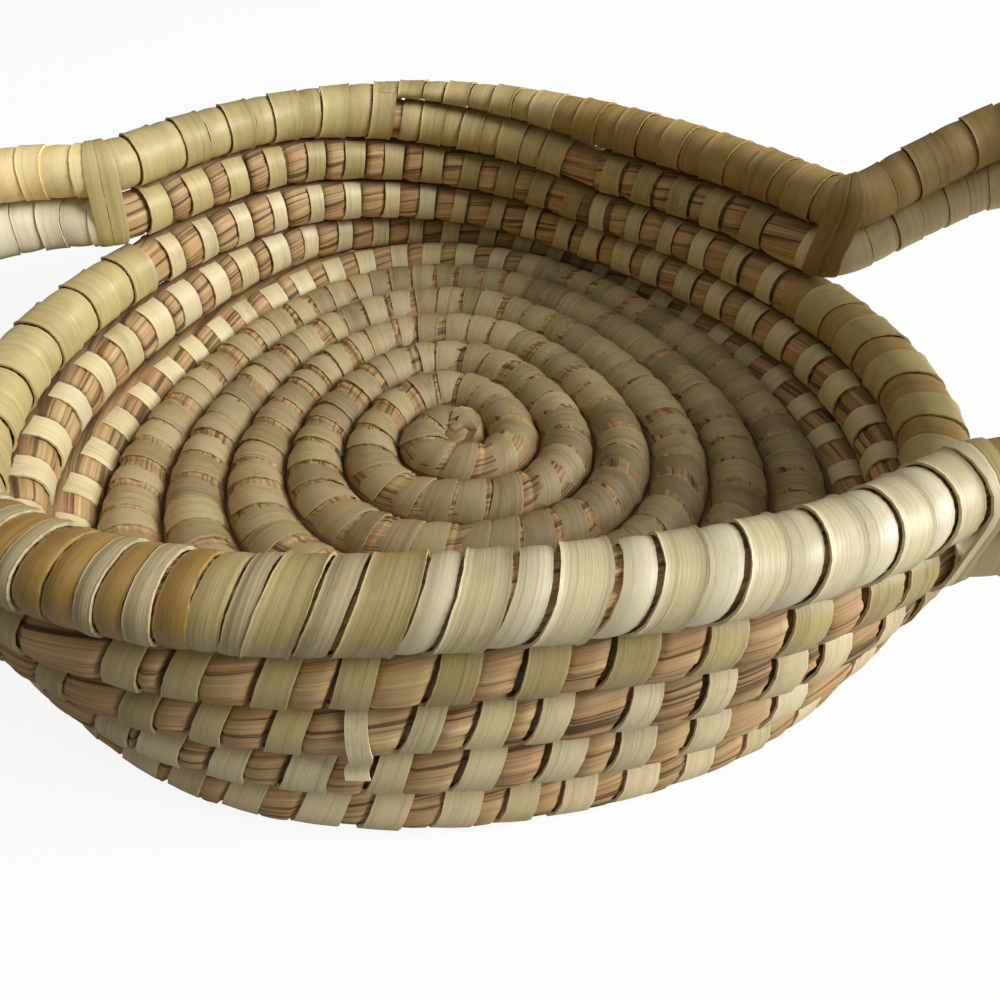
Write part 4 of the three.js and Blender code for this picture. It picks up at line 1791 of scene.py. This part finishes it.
@dataclass
class LooseStitch(Part):
    """The stitch at the front whose loose end hangs down over the row below.

    Its sideways sizes are in millimetres: half its width and how much that grows, and how far it
    lies to one side and how much further it sweeps there.
    """

    angle: float = 256.2
    path: tuple[LoosePlace, ...] = (
        LoosePlace(True, 0.52, -0.9),
        LoosePlace(True, 0.36, 0.1),
        LoosePlace(True, 0.2, 0.2),
        LoosePlace(True, 0.04, 0.3),
        LoosePlace(True, -0.06, 0.6),
        LoosePlace(False, 0.26, 1.25),
        LoosePlace(False, 0.17, 1.05),
    )
    half_width: float = 1.3
    widening: float = 0.3
    drift: float = 0.3
    sweep: float = 0.7
    thinness: float = 0.8

    def build(self) -> None:
        """Lays it along a smooth line through its places."""
        bench = self.bench
        template = bench.strips.wrap
        along = template.along
        half = self.half_width + self.widening * along
        sideways = template.across * half * MM + (self.drift + self.sweep * along**2) * MM
        strips = bench.loops(np.zeros(1), np.array((2 * self.half_width * MM,)), (Leaf.STRAW,))
        places = self._blended([self._line(place, sideways, template) for place in self.path], along)
        piece = copies_mesh("loose_stitch", places[None], template.faces)
        bench.strips.dress(piece, strips, template, sideways[None])
        bench.keep(piece, "palm_strip")

    def _line(self, place: LoosePlace, sideways: Array, template: Template) -> Array:
        """Gives where every point of the stitch would lie if all of it were at one of its places."""
        route = self.bench.routes.wall
        angle = self.angle + (360 if place.on_row_three else 0)
        distance = float(route.distance_at(angle)) + sideways
        turn = np.full(len(sideways), place.turn * math.pi)
        thick = template.raised * self.bench.strips.thickness * self.thinness
        return route.on_surface(distance, turn, place.height * MM + thick)

    def _blended(self, lines: list[Array], along: Array) -> Array:
        """Blends from line to line along the stitch, by a smooth curve through all of them.

        Args:
            lines: For each place of the path, where every point would lie there.
            along: How far along the stitch each point lies, from nought to one.

        Returns:
            Where each point lies.
        """
        knots = np.array([lines[0], *lines, lines[-1]])
        at = along * (len(lines) - 1.001)
        first = at.astype(int)
        share = (at - first)[:, None]
        rows = np.arange(len(along))
        before, here, there, beyond = (knots[first + step, rows] for step in range(4))
        places = here + share * (there - before) / 2
        places += share**2 * (before - 2.5 * here + 2 * there - beyond / 2)
        places += share**3 * (1.5 * (here - there) + (beyond - before) / 2)
        return places


@dataclass
class SideRims(Part):
    """The strips wound round row three between the ends of each handle."""

    wide: float = 7.0 * MM
    narrow: float = 5.6 * MM

    def build(self) -> None:
        """Winds both."""
        self._wind(Side.LEFT, (Leaf.OLIVE, Leaf.OLIVE))
        self._wind(Side.RIGHT, (Leaf.OLIVE, Leaf.BROWN))

    def _wind(self, side: Side, leaves: tuple[Leaf, Leaf]) -> None:
        """Winds the strip of one side, in two leaves by turns."""
        bench = self.bench
        route = bench.routes.wall
        handle = bench.sizes.handles[side]
        span = (float(route.distance_at(handle.leave + 360)), float(route.distance_at(handle.rejoin + 360)))
        wound = bench.wound(span, self.wide, self.narrow, leaves)
        name = f"{side.value}_side_rim"
        template = bench.strips.wrap
        piece = bench.strips.lay(f"{name}_strip", route, wound, template, 0.12 * MM, 0.3 * MM)
        bench.keep(piece, "palm_strip", f"{name}_wrap")


@dataclass
class UpperRow(Part):
    """Row two, the one under the rim, with its stitches, of which some at the front are slim."""

    front: Row = (237.6, 242.4, 249.4, 255.9, 264.3, 272.8, 280.7, 289.1, 297.3, 305.0)
    width: float = 5.1 * MM
    slim_width: float = 4.6 * MM
    slim_angles: Range = (225.0, 268.0)

    def build(self) -> None:
        """Builds the grass and its stitches."""
        bench = self.bench
        routes = bench.routes
        route = routes.upper.route
        first = bench.sizes.climb_start
        angles = bench.columns(first + 2, first + 358, 2.2, self.front, 0)
        for handle in bench.sizes.handles.values():
            angles = angles[(angles < handle.leave - 3) | (angles > handle.rejoin + 3)]
        leaf = bench.leaves(len(angles), Leaf.OLIVE)
        slim = (angles > self.slim_angles[0]) & (angles < self.slim_angles[1])
        width = np.where(slim, self.slim_width, self.width)
        sewn = bench.sewn(route.distance_at(angles), width, (0.1, 0.7), leaf)
        trim = np.full(len(route.distances), bench.grass_trim)
        for low, high in routes.upper.bows.values():
            trim[(route.distances > low - 2 * MM) & (route.distances < high + 2 * MM)] = bench.wound_trim
        contacts = [contact(route, routes.wall, 360), contact(route, routes.rim.route, 0, share=1.0)]
        bench.sew("upper", route, sewn, trim, contacts, flare=0.12)


@dataclass(frozen=True)
class RimTurn:
    """One turn of the strip round the front rim.

    Attributes:
        leaf: Its leaf.
        room: The length of rim that it takes, in millimetres.
        bare: How much of that it leaves bare.
    """

    leaf: Leaf
    room: float
    bare: float


@dataclass
class Rim(Part):
    """The rim row: its grass, and the strips wound round it.

    The front's turns start out straight round the rim, as far as straight_length, and then come to
    slant. Over the left of the front their tint is darkened as painted shade, as far as
    dark_length, and then comes back to full.

    Attributes:
        front: The turns of the front's strip, from the left handle on.
        broad_room: The room from which a turn of the front lies uppermost.
        slants: How far they move along the coil in one turn at first, and how much more then, in
            millimetres.
        curls: The same for how far their tops lean.
        front_end: How far before the right handle the front's last turn may lie.
        aged_from: The share of the right stretch from which it is paler.
        climb_ends: How far from the climb's start and from the tail's end the strip under it ends,
            in degrees.
    """

    front: tuple[RimTurn, ...] = tuple(
        RimTurn(*turn)
        for turn in (
            *(((Leaf.GOLD, 3.6, 0.1), (Leaf.PAPER, 2.1, 0.0)) * 6),
            (Leaf.GOLD, 3.9, 0.1), (Leaf.GOLD, 3.9, 0.2), (Leaf.PAPER, 2.2, 0.1), (Leaf.GOLD, 3.3, 0.1),
            (Leaf.PAPER, 3.1, 0.2), (Leaf.GOLD, 3.8, 0.1), (Leaf.OLIVE, 4.1, 0.1), (Leaf.PAPER, 3.2, 0.3),
            (Leaf.OLIVE, 5.6, 0.2), (Leaf.PAPER, 4.4, 0.6), (Leaf.OLIVE, 6.7, 0.1), (Leaf.PALE, 4.0, 0.2),
            (Leaf.STRAW, 6.0, 0.3), (Leaf.PALE, 5.0, 0.4), (Leaf.STRAW, 7.2, 1.2), (Leaf.PALE, 4.7, 0.3),
            (Leaf.STRAW, 5.6, 0.2), (Leaf.PALE, 4.9, 0.3), (Leaf.STRAW, 5.25, 0.1), (Leaf.PALE, 4.9, 0.2),
            (Leaf.STRAW, 5.4, 0.1), (Leaf.PALE, 4.9, 0.2), (Leaf.STRAW, 5.4, 0.1), (Leaf.PALE, 4.5, 0.2),
            (Leaf.STRAW, 5.3, 0.1),
        )
    )
    wide: float = 6.6 * MM
    narrow: float = 5.3 * MM
    ragged: float = 0.14 * MM
    tuck: float = 0.3 * MM
    broad_room: float = 5.2 * MM
    straight_length: float = 54 * MM
    turned_length: float = 16 * MM
    slants: Range = (2.6, 5.0)
    curls: Range = (0.2, 1.0)
    # Painted shade over the left of the front: how far it reaches, how long it takes to fade, and the share
    # of the tint that it keeps.
    dark_length: float = 80 * MM
    lightened_length: float = 36 * MM
    dark_share: float = 0.25
    front_end: float = 1.5 * MM
    aged_from: float = 0.62
    climb_ends: Range = (5.0, 4.0)
    sides: int = 44

    def build(self) -> None:
        """Builds the grass, then winds each stretch from the front on."""
        bench = self.bench
        rim = bench.routes.rim
        under = np.full(len(rim.route.distances), bench.wound_trim)
        bundle = bench.bundle.shape("rim_grass", rim.route, None, under, 0.0, [], self.sides)
        bench.keep(bundle, "grass_bundle", "rim_coil")
        self._wind_front()
        self._wind_right()
        self._wind_left()

    def _lay(self, name: str, route: Route, wound: Strips, *nodes: str) -> None:
        """Lays the turns of a strip and puts them on the basket."""
        strips = self.bench.strips
        piece = strips.lay(name, route, wound, strips.wrap, self.ragged, self.tuck)
        self.bench.keep(piece, "palm_strip", *nodes)

    def _wind_front(self) -> None:
        """Winds the front, turn by turn as broad as the real one's."""
        bench = self.bench
        rim = bench.routes.rim
        rooms = np.array([turn.room for turn in self.front]) * MM
        bare = np.array([turn.bare for turn in self.front]) * MM
        leaf = np.array([leaf_number(turn.leaf) for turn in self.front])
        reached = np.cumsum(rooms)
        turned = ramp(reached, self.straight_length, self.turned_length)
        slant = (self.slants[0] + self.slants[1] * turned) * MM
        curl = (self.curls[0] + self.curls[1] * turned) * MM
        broad = (rooms > self.broad_room) | (leaf == leaf_number(Leaf.STRAW))
        wound = bench.turns(rim.bows[Side.LEFT][1], rooms, broad, leaf, slant, curl)
        wound.distance = wound.distance - slant / 6 - curl * 0.87 - bare / 2
        wound.width = (rooms - bare) * np.where(broad, 0.97, 0.93)
        # Painted shade: the tint is darkened near the left handle and comes back to full further on.
        unshaded = ramp(reached, self.dark_length, self.lightened_length)
        wound.tint = wound.tint * (self.dark_share + (1 - self.dark_share) * unshaded)
        papery = leaf == leaf_number(Leaf.PAPER)
        wound.lift = wound.lift + np.where(papery, 0.18, 0) * MM
        wound.lip = wound.lip + np.where(papery, 0.15, 0) * MM
        inside = wound.distance < rim.bows[Side.RIGHT][0] - self.front_end
        self._lay("rim_front_strip", rim.route, picked(wound, inside), "rim_wrap_front")

    def _wind_right(self) -> None:
        """Winds the stretch from the right handle back to the tail's end."""
        bench = self.bench
        rim = bench.routes.rim
        low = rim.bows[Side.RIGHT][1]
        high = float(rim.route.distance_at(bench.sizes.climb_start + 360 + bench.sizes.tail_angle))
        # The brown and amber leaves here are partly their own darker colour and partly painted shade over
        # the back right of the rim.
        wound = bench.wound((low, high), self.wide, self.narrow, (Leaf.BROWN, Leaf.AMBER))
        paler = wound.distance > low + (high - low) * self.aged_from
        wound.leaf = np.where(paler, leaf_number(Leaf.OLIVE), wound.leaf)
        self._lay("rim_right_strip", rim.route, wound, "rim_wrap_right")

    def _wind_left(self) -> None:
        """Winds the climb under the tail, and the stretch from the tail's end to the left handle."""
        bench = self.bench
        route = bench.routes.rim.route
        first = bench.sizes.climb_start
        leaves = (Leaf.OLIVE, Leaf.OLIVE)
        low = float(route.distance_at(first + self.climb_ends[0]))
        high = float(route.distance_at(first + bench.sizes.tail_angle - self.climb_ends[1]))
        self._lay("rim_climb_strip", route, bench.wound((low, high), self.wide, self.narrow, leaves))
        span = (0.0, bench.routes.cover_end)
        wound = bench.wound(span, self.wide, self.narrow, leaves)
        self._lay("rim_left_strip", bench.routes.cover, wound, "rim_wrap_left")


class Level(Enum):
    """The two rows of a handle."""

    UPPER = "upper"
    LOWER = "lower"


@dataclass
class Handles(Part):
    """The strips wound round both rows of each handle, most of them with a raised, lighter tint that is
    painted light.
    """

    wide: float = 5.9 * MM
    narrow: float = 5.6 * MM
    lip_share: float = 0.5
    # The least tint of the lighter rows: painted light.
    faded: float = 0.6

    def build(self) -> None:
        """Winds each row of each handle."""
        # The left rows and the right lower row get lighter leaves and tints: painted light for the strong
        # light on them.
        self._wind(Side.LEFT, Level.UPPER, Leaf.HONEY, "golden_strip", self.faded)
        self._wind(Side.LEFT, Level.LOWER, Leaf.IVORY, "pale_strip", self.faded)
        self._wind(Side.RIGHT, Level.UPPER, Leaf.BROWN, "brown_strip", 0.0)
        self._wind(Side.RIGHT, Level.LOWER, Leaf.CREAM, "brown_strip", self.faded)

    def _wind(self, side: Side, level: Level, leaf: Leaf, slot: str, least: float) -> None:
        """Winds the strip round one row of a handle.

        Args:
            side: The handle's side.
            level: Which of its rows it is.
            leaf: The leaf.
            slot: The material slot, which is not used.
            least: The least tint, which paints light on the row when it is above nought.
        """
        bench = self.bench
        row = bench.routes.rim if level is Level.UPPER else bench.routes.upper
        wound = bench.wound(row.bows[side], self.wide, self.narrow, (leaf, leaf))
        wound.lip = wound.lip * self.lip_share
        wound.tint = least + (1 - least) * wound.tint
        name = f"{side.value}_{level.value}_strip"
        piece = bench.strips.lay(name, row.route, wound, bench.strips.wrap, 0.1 * MM, 0.2 * MM)
        bench.keep(piece, slot, f"{side.value}_handle_{level.value}_wrap")


class HandleEnd(Enum):
    """The two ends of a handle, by the way the coil runs."""

    LEAVING = "leaving"
    REJOINING = "rejoining"


@dataclass
class Lashings(Part):
    """The four lashings that bind the two rows of each handle at the wall.

    A loop's distance from the wall and its width are in millimetres. At each of its stages, which are
    shares of its length, it has a turn round each row, in half turns, and a share of the upper row.
    """

    distances: Range = (2.0, 4.3)
    widths: Range = (2.3, 2.1)
    stages: Row = (0.0, 0.2, 0.35, 0.65, 0.8, 1.0)
    turns: Row = (-0.5, 0.0, 0.0, 1.0, 1.0, 1.5)
    shares: Row = (0.0, 0.0, 1.0, 1.0, 0.0, 0.0)

    def build(self) -> None:
        """Binds each end of each handle."""
        self._bind(Side.LEFT, HandleEnd.LEAVING, (Leaf.OLIVE, Leaf.OLIVE))
        self._bind(Side.LEFT, HandleEnd.REJOINING, (Leaf.GOLD, Leaf.OLIVE))
        self._bind(Side.RIGHT, HandleEnd.LEAVING, (Leaf.STRAW, Leaf.OLIVE))
        self._bind(Side.RIGHT, HandleEnd.REJOINING, (Leaf.AMBER, Leaf.AMBER))

    def _bind(self, side: Side, end: HandleEnd, leaves: tuple[Leaf, Leaf]) -> None:
        """Lays one lashing's loops, which pass from the lower row on to the upper one and back."""
        bench = self.bench
        place, way = (0, 1) if end is HandleEnd.LEAVING else (1, -1)
        strips = bench.loops(np.array(self.distances) * MM * way, np.array(self.widths) * MM, leaves)
        template = bench.strips.wrap
        along = template.along
        turn = np.interp(along, self.stages, np.array(self.turns) * math.pi) * np.ones((len(strips), 1))
        share = np.interp(along, self.stages, self.shares)
        sideways = template.across * (strips.width[:, None] / 2)
        distance = strips.distance[:, None] + sideways + strips.slant[:, None] * (along - 0.5)
        offset = bench.strips.heights(strips, template)
        low, high = (
            row.route.on_surface(row.bows[side][place] + distance, turn, offset)
            for row in (bench.routes.upper, bench.routes.rim)
        )
        name = f"{side.value}_{end.value}_lashing"
        piece = copies_mesh(f"{name}_strip", low + (high - low) * share[None, :, None], template.faces)
        bench.strips.dress(piece, strips, template, sideways)
        bench.keep(piece, "palm_strip", name)


# The studio


@dataclass(frozen=True)
class Lamp:
    """A soft lamp that faces the basket."""

    name: str
    place: Place
    power: float
    size: float


@dataclass(frozen=True)
class Studio:
    """The floor, the lights and the camera.

    The camera sees the floor and the sky in their seen colours, and the unseen ones light the basket.
    The floor_glow is the share of plain white that the camera sees in the floor. The camera's turns
    are in radians, and its lens and its sensor are in millimetres.
    """

    camera_place: Place = (-10.31 * MM, -137.46 * MM, 126.7 * MM)
    yaw: float = 0.111
    pitch: float = 0.722
    roll: float = 0.039
    lens: float = 28.2
    sensor_width: float = 36.0
    shift_y: float = -0.0805
    clip_start: float = 5 * MM
    floor_size: float = 6.0
    floor_drop: float = 0.2 * MM
    floor_seen: Colour = (0.9, 0.9, 0.9)
    floor_unseen: Colour = (0.4, 0.39, 0.37)
    floor_glow: float = 0.9
    sky_seen: Colour = (1.0, 1.0, 1.0)
    sky_unseen: Colour = (1.0, 0.88, 0.7)
    sky_strength: float = 0.165
    aim: Place = (0.0, 0.0, 20 * MM)
    lamps: tuple[Lamp, ...] = (
        Lamp("side_window", (1.1, -0.27, 0.72), 23.0, 0.75),
        Lamp("roof_window", (-0.1, -0.1, 1.0), 1.1, 0.7),
    )

    def build(self) -> None:
        """Builds them in order."""
        self._floor()
        self._lights()
        self._camera()
        bpy.context.scene.view_settings.view_transform = "Standard"

    def _floor(self) -> None:
        """Lays a white floor that keeps the basket's shadow."""
        deselect()
        bpy.ops.mesh.primitive_plane_add(size=self.floor_size, location=(0, 0, -self.floor_drop))
        floor = bpy.context.object
        floor.name = "floor"
        material = bpy.data.materials.new("white_floor")
        material.use_nodes = True
        nodes = Nodes(material.node_tree)
        shader = material.node_tree.nodes["Principled BSDF"]
        seen = nodes.add("ShaderNodeLightPath").outputs["Is Camera Ray"]
        nodes.put(shader.inputs["Base Color"], nodes.mix(seen, self.floor_unseen, self.floor_seen))
        shader.inputs["Roughness"].default_value = 0.9
        glow = nodes.add("ShaderNodeEmission")
        mixed = nodes.add("ShaderNodeMixShader")
        share = nodes.maths("MULTIPLY", seen, self.floor_glow)
        nodes.put(mixed.inputs[0], share)
        nodes.put(mixed.inputs[1], shader.outputs[0])
        nodes.put(mixed.inputs[2], glow.outputs[0])
        output = material.node_tree.nodes["Material Output"]
        nodes.put(output.inputs["Surface"], mixed.outputs[0])
        floor.data.materials.append(material)

    def _lights(self) -> None:
        """Sets a soft sky and hangs the lamps."""
        world = bpy.data.worlds.new("studio_sky")
        bpy.context.scene.world = world
        world.use_nodes = True
        nodes = Nodes(world.node_tree)
        back = world.node_tree.nodes["Background"]
        seen = nodes.add("ShaderNodeLightPath").outputs["Is Camera Ray"]
        nodes.put(back.inputs["Color"], nodes.mix(seen, self.sky_unseen, self.sky_seen))
        strength = nodes.maths("MULTIPLY_ADD", seen, 1 - self.sky_strength, self.sky_strength)
        nodes.put(back.inputs["Strength"], strength)
        for lamp in self.lamps:
            self._hang(lamp)

    def _hang(self, lamp: Lamp) -> None:
        """Hangs one lamp."""
        data = bpy.data.lights.new(lamp.name, "AREA")
        data.energy = lamp.power
        data.size = lamp.size
        hung = bpy.data.objects.new(lamp.name, data)
        hung.location = lamp.place
        hung.rotation_euler = (Vector(self.aim) - Vector(lamp.place)).to_track_quat("-Z", "Y").to_euler()
        bpy.context.collection.objects.link(hung)

    def _camera(self) -> None:
        """Sets the camera where the photograph was taken from."""
        ahead = Vector((
            math.sin(self.yaw) * math.cos(self.pitch),
            math.cos(self.yaw) * math.cos(self.pitch),
            -math.sin(self.pitch),
        ))
        level = Vector((math.cos(self.yaw), -math.sin(self.yaw), 0))
        above = level.cross(ahead)
        right = math.cos(self.roll) * level + math.sin(self.roll) * above
        above = right.cross(ahead)
        data = bpy.data.cameras.new("camera")
        data.lens = self.lens
        data.sensor_width = self.sensor_width
        data.shift_y = self.shift_y
        data.clip_start = self.clip_start
        camera = bpy.data.objects.new("camera", data)
        turned = Matrix((right, above, -ahead)).transposed().to_4x4()
        camera.matrix_world = Matrix.Translation(self.camera_place) @ turned
        bpy.context.collection.objects.link(camera)
        bpy.context.scene.camera = camera


def main() -> None:
    """Builds the basket and the studio, and logs how many faces each piece has."""
    logging.basicConfig(level=logging.INFO, format="%(name)s %(message)s")
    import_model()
    Studio().build()
    bench = Workbench(Finishes())
    for part in (Base, Wall, LooseStitch, SideRims, UpperRow, Rim, Handles, Lashings):
        part(bench).build()


if __name__ == "__main__":
    main()
